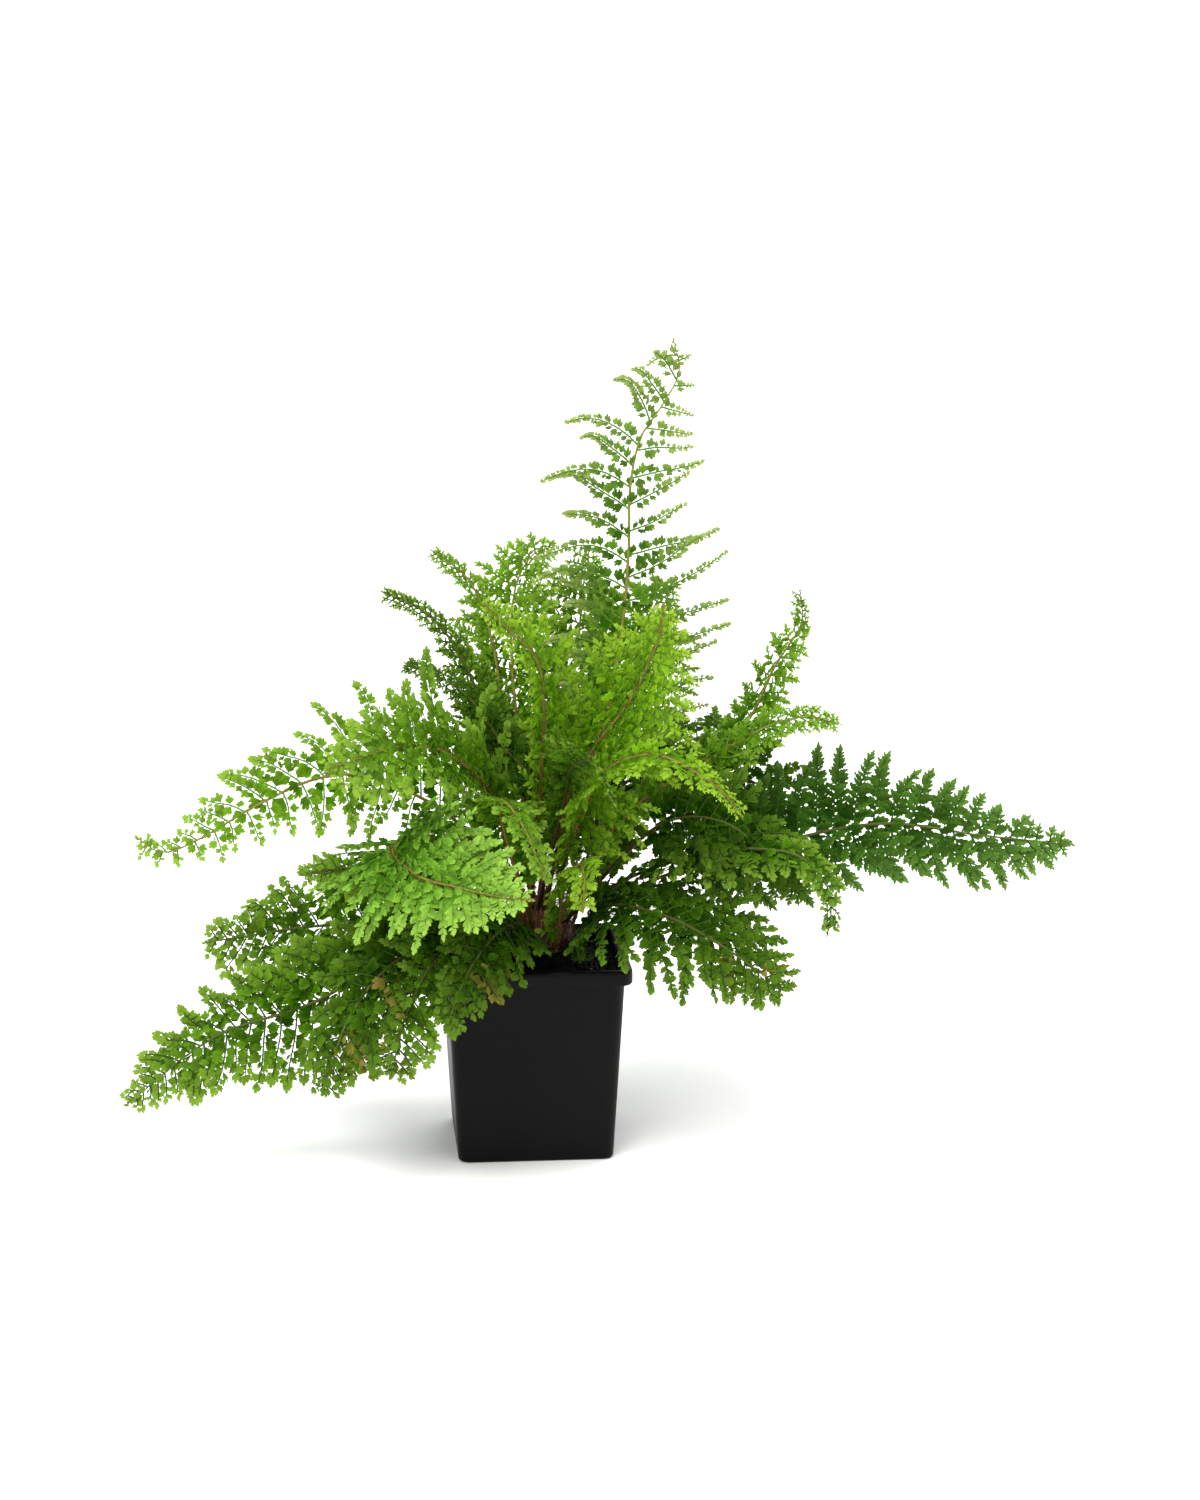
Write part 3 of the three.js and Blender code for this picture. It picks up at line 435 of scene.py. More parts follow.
def rachis_of(frond):
    """Evenly spaced frames along stalk and rachis."""
    point, direction = seat_of(frond)
    through = [point] + [np.array(p, float) for p in frond["path"]]
    before = through[1] - direction * np.linalg.norm(through[1] - point) * LEAD_IN
    after = through[-1] * 2 - through[-2]
    knots = [before] + through + [after]
    dense = [(point - direction * SEAT_DEPTH)[None, :]]
    for k in range(1, len(knots) - 2):
        t = np.arange(0 if k == 1 else 1, CURVE_STEPS + 1) / CURVE_STEPS
        dense.append(catmull_rom(*knots[k - 1 : k + 3], t))
    dense = np.concatenate(dense)
    along = np.concatenate([[0], np.cumsum(np.linalg.norm(np.diff(dense, axis=0), axis=1))])
    s = np.linspace(0, along[-1], FRAMES + 1)
    centres = np.stack([np.interp(s, along, dense[:, i]) for i in range(3)], -1)
    ahead = np.concatenate([centres[1:], centres[-1:]])
    behind = np.concatenate([centres[:1], centres[:-1]])
    tangents = unit(ahead - behind)
    normals = np.zeros_like(tangents)
    middle = round(FRAMES * FACE_AT)
    normals[middle] = across(np.array(frond["face"], float), tangents[middle])
    for k in range(middle + 1, FRAMES + 1):
        normals[k] = across(normals[k - 1], tangents[k])
    for k in range(middle - 1, -1, -1):
        normals[k] = across(normals[k + 1], tangents[k])
    return dict(length=along[-1], centres=centres, tangents=tangents, normals=normals)


def frame_at(rachis, s):
    """Centre, tangent, normal and side at distances along the rachis."""
    s = np.atleast_1d(s)
    at = np.clip(s / rachis["length"] * FRAMES, 0, FRAMES - 1e-6)
    k = np.floor(at).astype(int)
    t = (at - k)[:, None]
    centre, tangent, normal = (
        rachis[key][k] * (1 - t) + rachis[key][k + 1] * t for key in ("centres", "tangents", "normals")
    )
    tangent = unit(tangent)
    normal = unit(normal - tangent * np.sum(normal * tangent, -1, keepdims=True))
    return dict(centre=centre, tangent=tangent, normal=normal, side=np.cross(tangent, normal))


def outline(t, taper=TAPER):
    """Length of the pinnae at share t of the leafy part, as a share of the longest."""
    if t < SHOULDER:
        return FIRST_REACH + REACH_RISE * t
    return 1 - TIP_DROP * ((t - SHOULDER) / (1 - SHOULDER)) ** taper


def pinna_stations(frond, length):
    """Where the CAD's pairs of pinnae stand, how far apart, and at which share of the leafy part."""
    first = frond["bare"] * length
    leafy = length * (1 - frond["bare"]) * LEAFY_END
    pairs = frond["pairs"]
    ease = [first + leafy * ((1 + EASE) * k / pairs - EASE * (k / pairs) ** 2) for k in range(pairs + 1)]
    return [dict(s=ease[k], spacing=ease[k + 1] - ease[k], share=k / pairs) for k in range(pairs)]


def pinna_frame(base, hand, plan, u):
    """Frames of a pinna's bent centre line at shares u of its length."""
    u = np.atleast_1d(u)[:, None]
    lift = math.radians(plan["lift"])
    angle = math.radians(plan["angle"])
    out = base["side"][0] * hand * math.cos(lift) + base["normal"][0] * math.sin(lift)
    start = base["tangent"][0] * math.cos(angle) + out * math.sin(angle)
    down = np.array([0, 0, -1.0])
    onward = np.cross(base["normal"][0], start) * hand
    bend = down * plan["sag"] + onward * plan.get("sway", 0) + base["normal"][0] * plan.get("arch", 0)
    wave = onward * plan.get("wave", 0)
    centre = base["centre"][0] + plan["length"] * (start * u + bend * u**2 + wave * u * np.sin(WAVES * u))
    tangent = unit(start + bend * 2 * u + wave * (np.sin(WAVES * u) + WAVES * u * np.cos(WAVES * u)))
    normal = unit(base["normal"][0] - tangent * np.sum(tangent * base["normal"][0], -1, keepdims=True))
    forward = np.cross(normal, tangent) * hand
    return centre, tangent, normal, forward


# Space already taken by fronds, in small cells, so that a pinna is bent clear of others as in the CAD.
# A pinna that isn't free tries these lifts, in degrees, and shares of its length.
CELL = 2.5
CHECK_STEP = 2
CHECK_FROM = 4
ORIGIN = np.array([-300, -230, 0])
CELLS = (280, 210, 220)
DODGES = [
    (0, 1), (12, 1), (-12, 1), (24, 1), (-24, 1), (0, 0.8), (18, 0.8), (-18, 0.8),
    (30, 0.8), (-30, 0.8), (0, 0.6), (25, 0.6), (-25, 0.6), (0, 0.42), (30, 0.42), (-30, 0.42),
]
taken = np.zeros(CELLS[0] * CELLS[1] * CELLS[2], np.uint8)
STEPS = (-1, 0, 1)
NEAR = np.array([(i * CELLS[1] + j) * CELLS[2] + k for i in STEPS for j in STEPS for k in STEPS])


def cells_of(points):
    i, j, k = np.floor((points - ORIGIN) / CELL).astype(int).T
    return (i * CELLS[1] + j) * CELLS[2] + k


def is_taken(points, owner):
    found = taken[cells_of(points)]
    return bool(np.any((found != 0) & (found != owner)))


def take(points, owner):
    """Gives the free cells at and next to the points to a frond."""
    cells = np.unique(cells_of(points)[:, None] + NEAR[None, :])
    free = cells[taken[cells] == 0]
    taken[free] = owner


def choose_pinna(base, hand, wanted, owner):
    """The first way to place a pinna in free space, or None."""
    for lift, share in DODGES:
        plan = dict(wanted, lift=wanted["lift"] + lift, length=wanted["length"] * share)
        if plan["length"] < SHORTEST:
            continue
        steps = math.ceil(plan["length"] / CHECK_STEP)
        u = np.arange(1, steps + 1) / steps
        u = u[plan["length"] * u >= CHECK_FROM]
        centre, _, _, forward = pinna_frame(base, hand, plan, u)
        half = np.where(u == 1, 0, plan["half"] * (1 - NARROWS * u))[:, None, None]
        spread = np.array([-1, -0.5, 0, 0.5, 1])[None, :, None]
        points = (centre[:, None, :] + forward[:, None, :] * spread * half).reshape(-1, 3)
        if is_taken(points, owner):
            continue
        take(points, owner)
        return plan
    return None


def plan_pinnae(frond, rachis, owner):
    """The CAD's pinnae, respaced: base frame, hand, plan and share of the leafy part of each."""
    found = []
    for k, station in enumerate(pinna_stations(frond, rachis["length"])):
        for hand in (1, -1):
            s = station["s"] + (station["spacing"] * LATE_HAND if hand < 0 else 0) + PINNA_ROOT / 2
            base = frame_at(rachis, s)
            jitter = draw(owner, k * 2 + (1 if hand > 0 else 0))
            ours = "" if hand > 0 else "other_"
            reach = frond.get(ours + "reach", frond["reach"])
            taper = frond.get(ours + "taper", frond.get("taper", TAPER))
            wanted = dict(
                length=max(SHORTEST, reach * outline(station["share"], taper) * (0.9 + 0.2 * jitter)),
                half=min(WIDEST_HALF, station["spacing"] * HALF_OF_SPACING),
                lift=PINNA_LIFT + PINNA_LIFT * (jitter - 0.5),
                sag=frond.get(ours + "sag", frond["sag"]),
                angle=frond.get(ours + "angle", frond.get("angle", PINNA_ANGLE)),
            )
            plan = choose_pinna(base, hand, wanted, owner)
            found.append(dict(s=s, hand=hand, base=base, plan=plan, share=station["share"]))
    rows = [[p for p in found if p["hand"] == hand and p["plan"] is not None] for hand in (1, -1)]
    return [pinna for row in rows for pinna in refine_row(row, frond, rachis)]


def refine_row(row, frond, rachis):
    """The same row of pinnae at the real fern's closer spacing, out to the very tip."""
    length = rachis["length"]
    known = [p["s"] for p in row] + [length]
    plans = [p["plan"] for p in row]
    plans.append(dict(plans[-1], length=TIP_PINNA, half=1))
    shares = [p["share"] for p in row] + [1]
    kind = KINDS[frond["leaf"]]
    refined = []
    s = known[0]
    while s < length * LAST_PINNA:
        plan = {key: float(np.interp(s, known, [p[key] for p in plans])) for key in plans[0]}
        plan["length"] *= 1 + stray(LENGTH_STRAYS)
        plan["angle"] += stray(ANGLE_STRAYS)
        plan["sway"] = SWAY + stray(SWAY_STRAYS)
        plan["arch"] = stray(ARCH_STRAYS)
        plan["wave"] = stray(WAVE_STRAYS)
        share = float(np.interp(s, known, shares))
        refined.append(dict(s=s, hand=row[0]["hand"], base=frame_at(rachis, s), plan=plan, share=share))
        closer = kind["even"] + (1 - kind["even"]) * outline(share)
        s += kind["gap"] * closer * (1 + stray(GAP_STRAYS))
    return refined


# ---- leaflets

VARIANTS = 6
TEETH = 8
EDGE_RING = 2 * TEETH + 1
INNER_RING = TEETH + 1
STALK_POINTS = 4
LEAF_POINTS = STALK_POINTS + 1 + INNER_RING + EDGE_RING
LEAF_SPREAD = 70  # degrees between a leaflet and its pinna at the root, and how much less at the tip
SPREAD_CLOSES = 30
LEAF_TILT = 8
LEAF_STRAYS = dict(place=0.25, spread=22, tilt=50, size=0.34, roll=56)  # each times how loose the kind is
PINNA_END = 0.98
TIP_LEAFLETS = 9


def fan_edge(hub, wide):
    """A wedge with a rounded, lobed outer edge, like a little ginkgo leaf."""
    turn = np.linspace(-1, 1, EDGE_RING)
    reach = (1 - 0.16 * turn**2) * (1 - 0.2 * np.exp(-(((np.abs(turn) - 0.36) / 0.09) ** 2)))
    reach = reach * np.where(np.arange(EDGE_RING) % 2 == 1, 0.9, 1)
    angle = np.radians(64) * turn
    return np.stack([hub + (1 - hub) * reach * np.cos(angle), wide * (1 - hub) * reach * np.sin(angle)], -1)


def lobed_edge(hub, wide):
    """A lopsided pointed blade, toothed all round, fuller on the side towards the pinna's tip."""
    turn = np.linspace(-1, 1, EDGE_RING)
    along = 1 - np.abs(turn) ** 1.25
    full = np.where(turn > 0, 1, 0.74) * np.sign(turn)
    half = wide * 1.12 * np.sin(np.pi * (0.1 + 0.9 * along) ** 0.78) ** 0.8
    pull = np.where(np.arange(EDGE_RING) % 2 == 1, 0.62, 1)
    return np.stack([hub + (1 - hub) * (along - 0.05 * (1 - pull)), full * half * pull + 0.02], -1)


def leaflet_family(shape, hub, wide):
    """Variants of one outline: points, the fan angle seen from the hub and how near the edge they are."""
    variants = []
    for _ in range(VARIANTS):
        ring = shape(hub, wide * (0.86 + 0.28 * rng.random()))
        ring = ring * (1 + 0.12 * (rng.random((EDGE_RING, 1)) - 0.5))
        inner = ring[::2] * [0.62, 0.5] + [hub * 0.38, 0]
        stalk = [(0, -0.04), (0, 0.04), (hub * 1.1, -0.035), (hub * 1.1, 0.035)]
        points = np.concatenate([stalk, [(hub, 0)], inner, ring])
        angle = np.arctan2(points[:, 1], points[:, 0] - hub * 0.6)
        radius = np.concatenate([np.zeros(STALK_POINTS + 1), np.full(INNER_RING, 0.5), np.ones(EDGE_RING)])
        variants.append(np.stack([points[:, 0], points[:, 1], angle, radius]))
    return np.array(variants)


def leaflet_faces():
    """Triangles of a leaflet: its stalk, then a fan from the hub to the inner ring and the toothed edge."""
    hub = STALK_POINTS
    inner = hub + 1
    edge = inner + INNER_RING
    faces = [[0, 2, 3], [0, 3, 1]]
    faces += [[hub, edge, inner], [hub, inner + INNER_RING - 1, edge + EDGE_RING - 1]]
    for i in range(INNER_RING - 1):
        a, b = inner + i, inner + i + 1
        p, q, r = edge + 2 * i, edge + 2 * i + 1, edge + 2 * i + 2
        faces += [[hub, a, b], [a, p, q], [a, q, b], [b, q, r]]
    return np.array(faces)


LEAF_FACES = leaflet_faces()

# How evenly pinnae keep their spacing to the tip, the gap between pinnae, the step between leaflets, the
# size of one, how irregular they are, their size at the pinna's end, how late the change comes, and how pale
# they end.
TRAITS = ("even", "gap", "step", "size", "loose", "end", "drop", "pale")


def kind_of(shape, hub, wide, *traits):
    """A kind of leaflets. hub: where the stalk meets the blade. wide: half the blade's width. Both are shares
    of the leaflet's length."""
    return dict(zip(TRAITS, traits), family=leaflet_family(shape, hub, wide))


KINDS = {
    "open": kind_of(fan_edge, 0.1, 0.62, 0.8, 13, 6.6, 11, 1.3, 0.42, 1.0, 0.7),
    "airy": kind_of(fan_edge, 0.1, 0.6, 0.9, 15.5, 5.8, 8.8, 1.4, 0.3, 0.7, 1.1),
    "fan": kind_of(fan_edge, 0.08, 0.6, 0.5, 9.2, 5.4, 10.6, 1.4, 0.5, 1.5, 0.6),
    "broad": kind_of(lobed_edge, 0.04, 0.32, 0.5, 11.5, 4.9, 12, 1.1, 0.36, 1.0, 0.5),
    "small": kind_of(lobed_edge, 0.08, 0.42, 0.5, 8, 3.9, 8.6, 1.5, 0.45, 1.3, 0.7),
    "dense": kind_of(lobed_edge, 0.04, 0.4, 0.5, 7.8, 3.7, 8.4, 1.2, 0.45, 1.3, 0.6),
    "fine": kind_of(lobed_edge, 0.06, 0.3, 0.4, 7.5, 4.0, 8.2, 1.5, 0.38, 1.3, 0.7),
    "feather": kind_of(lobed_edge, 0.06, 0.3, 0.4, 6.5, 3.4, 7.2, 1.3, 0.4, 1.0, 0.7),
}


def leaf_stray(measure, kind, count):
    """How far each of some leaflets strays in one measure."""
    return stray(LEAF_STRAYS[measure] * kind["loose"], count)


def swell(u, kind):
    """Relative size of the leaflets along a pinna."""
    dropped = np.clip((u - 0.12) / 0.88, 0, 1) ** kind["drop"]
    return np.minimum(1, 0.82 + 1.2 * u) * (1 - (1 - kind["end"]) * dropped)


def pinna_leaflets(pinna, kind, size):
    """Leaflets along one pinna: origin, axis, normal, tangent, length and share of the pinna of each."""
    plan, base, hand = pinna["plan"], pinna["base"], pinna["hand"]
    length = plan["length"]
    grid = np.linspace(min(0.2, 1.4 / length), 1, 60)
    pitch = kind["step"] * (0.05 + 0.95 * swell(grid, kind)) * (0.35 + 0.65 * size / kind["size"])
    counted = np.concatenate([[0], np.cumsum(np.diff(grid) * length / pitch[1:])])
    rows = []
    for edge in (1, -1):
        wanted = np.arange(0.1 if edge > 0 else 0.6, counted[-1], 1.0)
        count = len(wanted)
        u = np.interp(wanted + leaf_stray("place", kind, count), counted, grid)
        centre, tangent, normal, forward = pinna_frame(base, hand, plan, u)
        spread = np.radians(LEAF_SPREAD - SPREAD_CLOSES * u**2 + leaf_stray("spread", kind, count))[:, None]
        tilt = np.radians(leaf_stray("tilt", kind, count) - LEAF_TILT)[:, None]
        out = edge * forward * np.cos(tilt) + normal * np.sin(tilt)
        axis = tangent * np.cos(spread) + out * np.sin(spread)
        length_here = size * swell(u, kind) * (1 + leaf_stray("size", kind, count))
        rows.append((centre, axis, normal, tangent, length_here, u))
    end = pinna_frame(base, hand, plan, PINNA_END)
    rows.append((*end, np.array([size * kind["end"] * 1.5]), np.array([1.0])))
    return [np.concatenate(column) for column in zip(*rows)]


def tip_leaflets(rachis, size):
    """Small leaflets that close the frond's own tip."""
    length = rachis["length"]
    at = frame_at(rachis, np.linspace(0.955, 0.998, TIP_LEAFLETS) * length)
    edge = np.where(np.arange(TIP_LEAFLETS) % 2 == 0, 1.0, -1.0)[:, None]
    share = np.linspace(0, 1, TIP_LEAFLETS)
    axis = at["tangent"] * (0.6 + 0.4 * share[:, None]) + at["side"] * edge * (1 - 0.8 * share[:, None])
    return [at["centre"], unit(axis), at["normal"], at["tangent"], size * (0.42 - 0.16 * share), share]


def build_leaf(frond, rachis, pinnae, material):
    """All leaflets of a frond as one mesh, each turned, rolled and cupped a little differently."""
    kind = KINDS[frond["leaf"]]
    columns = []
    for pinna in pinnae:
        size = kind["size"] * (0.75 + 0.25 * outline(pinna["share"]))
        size *= min(1, 0.7 + pinna["plan"]["length"] / 80)
        found = pinna_leaflets(pinna, kind, size)
        worn = 0.4 + 0.6 * rng.random() if rng.random() < frond.get("worn", 0) else 0
        columns.append(found + [np.full(len(found[0]), pinna["share"]), np.full(len(found[0]), worn)])
    found = tip_leaflets(rachis, kind["size"])
    columns.append(found + [np.ones(len(found[0])), np.zeros(len(found[0]))])
    origin, axis, normal, tangent, length, along, share, worn = [np.concatenate(c) for c in zip(*columns)]
    count = len(origin)
    axis = unit(axis)
    toward_tip = tangent - axis * np.sum(tangent * axis, -1, keepdims=True)
    astray = np.linalg.norm(toward_tip, axis=-1) < 0.2
    toward_tip[astray] = np.cross(normal, axis)[astray]
    toward_tip = unit(toward_tip)
    face_normal = np.cross(axis, toward_tip)
    sign = np.where(np.sum(face_normal * normal, -1) < 0, -1.0, 1.0)[:, None]
    face_normal = face_normal * sign
    roll = np.radians(leaf_stray("roll", kind, count))[:, None]
    toward_tip, face_normal = (
        toward_tip * np.cos(roll) + face_normal * np.sin(roll),
        face_normal * np.cos(roll) - toward_tip * np.sin(roll),
    )
    x, y, angle, radius = kind["family"][rng.integers(0, VARIANTS, count)].transpose(1, 0, 2)
    cup = (0.4 + 1.6 * (rng.random(count) - 0.3))[:, None]
    z = -cup * (0.5 * y**2 + 0.14 * x**2) + 0.035 * np.sin(11 * angle) * radius
    ways = ((x, axis), (y, toward_tip), (z, face_normal))
    shape = sum(amount[..., None] * way[:, None, :] for amount, way in ways)
    verts = origin[:, None, :] + length[:, None, None] * shape
    faces = LEAF_FACES[None, :, :] + np.arange(count)[:, None, None] * LEAF_POINTS
    turned = sign[:, 0] < 0
    faces[turned] = faces[turned][:, :, ::-1]
    youth = np.where(worn > 0, -worn, np.clip(0.7 * share**3 + kind["pale"] * along**2, 0, 1))
    wide = np.ones_like(x)
    marks = np.stack([wide * rng.random(count)[:, None], wide * youth[:, None], radius], -1)
    fan = np.stack([angle, wide * along[:, None], wide * share[:, None]], -1)
    layers = {"leaf": marks.reshape(-1, 3), "fan": fan.reshape(-1, 3)}
    obj = new_mesh(
        frond["name"] + "_leaflets", verts.reshape(-1, 3), [faces.reshape(-1, 3)], material, layers=layers
    )
    place(obj, "frond_" + frond["slot"], frond["name"])


# ---- stalks

STALK_SIDES = 8
STALK_RINGS = 72
DOWN = 0.2  # what a stalk's soft outer skin adds to its half-width
RACHILLA_SIDES = 4
RACHILLA_HALF = {"bright": 0.42, "fresh": 0.62, "mid": 0.62, "dark": 0.62}
RACHILLA_RINGS = 8
RACHILLA_TAPER = 0.25
HAIRS = {"bright": 8, "fresh": 3.4, "mid": 1.3, "dark": 1.3}  # papery scales for each mm of stalk
HAIRS_LOW = {"bright": 1.1, "fresh": 1.1, "mid": 1.9, "dark": 1.9}  # over 1: more of them lower down
SCALE_WIDTH = 0.13
SCALE_FACES = np.array([[0, 1, 3], [0, 3, 2], [1, 4, 3], [3, 4, 2]])
SCALE_POINTS = 5
BARK, FINE, SCALE = 0, 0.5, 1  # the kinds that the stem material tells apart


def stalk_radius(s, length):
    """Half-width of stalk and rachis, thinner along the way and pointed at the end."""
    thick = DOWN + STALK_HALF + (RACHIS_HALF - STALK_HALF) * np.minimum(1, s / (length * 0.8))
    return thick * (1 - 0.6 * np.clip(s / length - 0.75, 0, 1) / 0.25)


def papery_scales(points, outward, along, lengths, width):
    """Thin pointed scales that stand off a surface: five points each."""
    lean = np.radians(18 + 34 * rng.random(len(points)))[:, None]
    direction = along * np.cos(lean) + outward * np.sin(lean)
    across_scale = unit(np.cross(along, outward))
    twist = (rng.random(len(points)) - 0.5)[:, None]
    across_scale = unit(across_scale + direction * twist + outward * twist)
    lengths = lengths[:, None]
    middle = points + direction * lengths * 0.4
    tips = points + direction * lengths + outward * lengths * 0.12
    half = across_scale * width * lengths
    verts = np.stack([points, middle + half, middle - half, middle + outward * 0.1, tips], 1)
    faces = SCALE_FACES[None] + np.arange(len(points))[:, None, None] * SCALE_POINTS
    return verts.reshape(-1, 3), faces.reshape(-1, 3)


def build_stems(frond, rachis, pinnae, material):
    """Stalk, rachis, the pinnae's own fine stalks and the papery scales, as one mesh."""
    soup = Soup()
    length, slot = rachis["length"], frond["slot"]
    s = np.linspace(0, length, STALK_RINGS)
    at = frame_at(rachis, s)
    verts, quads = tube(at["centre"], at["normal"], at["side"], stalk_radius(s, length), STALK_SIDES)
    share = np.repeat(s / length, STALK_SIDES)
    soup.add(verts, [quads], plant_marks(rng.random(len(share)), share, BARK))
    for pinna in pinnae:
        u = np.linspace(0, PINNA_END, RACHILLA_RINGS)
        centre, _, normal, forward = pinna_frame(pinna["base"], pinna["hand"], pinna["plan"], u)
        radii = RACHILLA_HALF[slot] - RACHILLA_TAPER * u
        verts, quads = tube(centre, normal, forward, radii, RACHILLA_SIDES)
        soup.add(verts, [quads], plant_marks(rng.random(), pinna["s"] / length, FINE))
    count = int(length * HAIRS[slot])
    s = np.maximum(length * rng.random(count) ** HAIRS_LOW[slot], SEAT_DEPTH)
    at = frame_at(rachis, s)
    around = 2 * np.pi * rng.random(count)[:, None]
    outward = at["side"] * np.cos(around) + at["normal"] * np.sin(around)
    points = at["centre"] + outward * stalk_radius(s, length)[:, None] * 0.9
    lengths = (1.4 + 2.6 * rng.random(count)) * (1 - 0.4 * s / length)
    verts, faces = papery_scales(points, outward, at["tangent"], lengths, SCALE_WIDTH)
    chance = np.repeat(rng.random(count), SCALE_POINTS)
    soup.add(verts, [faces], plant_marks(chance, np.repeat(s / length, SCALE_POINTS), SCALE))
    obj = soup.build(frond["name"] + "_stems", material, "stem")
    place(obj, "frond_" + slot, frond["name"])


# ---- pot

DRAIN_SIDES = 24
SHARP_EDGE = 40  # degrees


def rounded_square(half, radius, z, split, arc_steps):
    """Points of a level square with rounded corners."""
    points = []
    for corner in range(4):
        turn = math.radians(90 * corner)
        side = [(half, -(half - radius) + 2 * (half - radius) * i / split) for i in range(split)]
        arc = [math.radians(90 * i / arc_steps) for i in range(arc_steps)]
        side += [(half - radius + radius * math.cos(a), half - radius + radius * math.sin(a)) for a in arc]
        cos, sin = math.cos(turn), math.sin(turn)
        points += [(x * cos - y * sin, x * sin + y * cos, z) for x, y in side]
    return np.array(points)


def pot_half(z):
    """Half-width of the tapered wall outside."""
    top = POT_WIDTH / 2 - RIM_OVERHANG
    return POT_FOOT / 2 + (top - POT_FOOT / 2) * z / POT_HEIGHT


def corner_at(z):
    return CORNER_RADIUS * (0.75 + 0.25 * z / POT_HEIGHT)


def pot_section():
    """Half-width, height and 1 for inside: up the outside, over the rim and down the inside."""
    rim = POT_WIDTH / 2
    foot = POT_FOOT / 2
    under = POT_HEIGHT - RIM_HEIGHT
    rows = [(foot - 1.6, 0, 0), (foot - 0.7, 0.2, 0), (foot - 0.1, 0.9, 0)]
    rows += [(pot_half(z), z, 0) for z in np.linspace(2, under - 2, 9)]
    rows += [(pot_half(under) + 0.1, under - 0.9, 0), (pot_half(under) + 0.5, under - 0.3, 0)]
    rows += [(rim - 1.6, under - 0.1, 0), (rim - 0.6, under + 0.3, 0), (rim - 0.1, under + 1.2, 0)]
    rows += [(rim, under + 2.2, 0), (rim, POT_HEIGHT - 3.2, 0)]
    for angle in (20, 45, 70, 90, 115, 140, 160):
        x, z = RIM_ROUND * math.cos(math.radians(angle)), RIM_ROUND * math.sin(math.radians(angle))
        rows.append((rim - RIM_ROUND + x, POT_HEIGHT - RIM_ROUND + z, 0))
    inner = pot_half(POT_HEIGHT) - POT_WALL
    rows += [(inner + 0.2, POT_HEIGHT - 3, 1), (inner - 0.05, POT_HEIGHT - 5, 1)]
    rows += [(pot_half(z) - POT_WALL, z, 1) for z in np.linspace(under - 2, POT_FLOOR, 5)]
    return rows


def drain_cutter(material):
    """Four short plugs through the pot's floor."""
    drills = Soup()
    angles = np.arange(DRAIN_SIDES) / DRAIN_SIDES * 2 * np.pi
    fan = np.array([[0, i, i + 1] for i in range(1, DRAIN_SIDES - 1)])
    faces = [grid_faces(2, DRAIN_SIDES), np.concatenate([fan[:, ::-1], fan + DRAIN_SIDES])]
    for x in (-DRAIN_OFFSET, DRAIN_OFFSET):
        for y in (-DRAIN_OFFSET, DRAIN_OFFSET):
            circle = [x + DRAIN_RADIUS * np.cos(angles), y + DRAIN_RADIUS * np.sin(angles)]
            ends = [np.stack(circle + [np.full(DRAIN_SIDES, z)], -1) for z in (-2.0, POT_FLOOR + 2.0)]
            drills.add(np.concatenate(ends), faces, np.zeros(3))
    return drills.build("drain_cutter", material, "none")


def build_pot(material):
    split, arc_steps = 6, 10
    rings = []
    for half, z, inside in pot_section():
        rings.append(rounded_square(half, corner_at(z) - POT_WALL * inside, z, split, arc_steps))
    shell = new_mesh("nursery_pot", *closed_rings(rings), material)
    cutter = drain_cutter(material)
    cut = shell.modifiers.new("drain", "BOOLEAN")
    cut.operation = "DIFFERENCE"
    cut.solver = "EXACT"
    cut.object = cutter
    bpy.context.view_layer.update()
    done = bpy.data.meshes.new_from_object(shell.evaluated_get(bpy.context.evaluated_depsgraph_get()))
    shell.modifiers.clear()
    shell.data = done
    bpy.data.objects.remove(cutter)
    shell.data.set_sharp_from_angle(angle=math.radians(SHARP_EDGE))
    place(shell, "pot", "pot")


# ---- soil and rootstock

SOIL_HUB = 12
SOIL_RINGS = 34
GRAINS = {"peat_crumbs": (620, 0.5, 1.7), "perlite": (34, 0.5, 1.1)}  # how many, the smallest and the largest
CROWN_SIDES = 48
CROWN_SCALES = 3000
CROWN_SCALE_WIDTH = 0.11
CROWN_SECTION = [  # radius and height
    (17, 100), (19, 113), (22.6, 118), (23.4, 123), (22.8, 129), (20, 135), (16.4, 140.5), (11.5, 145),
    (6, 148),
]


def lump(points, scale, seed):
    """Smooth random heights, one for each point."""
    offset = Vector((seed * 7.3, seed * 3.1, seed * 1.7))
    return np.array([noise.noise(Vector(p) * scale + offset) for p in points])


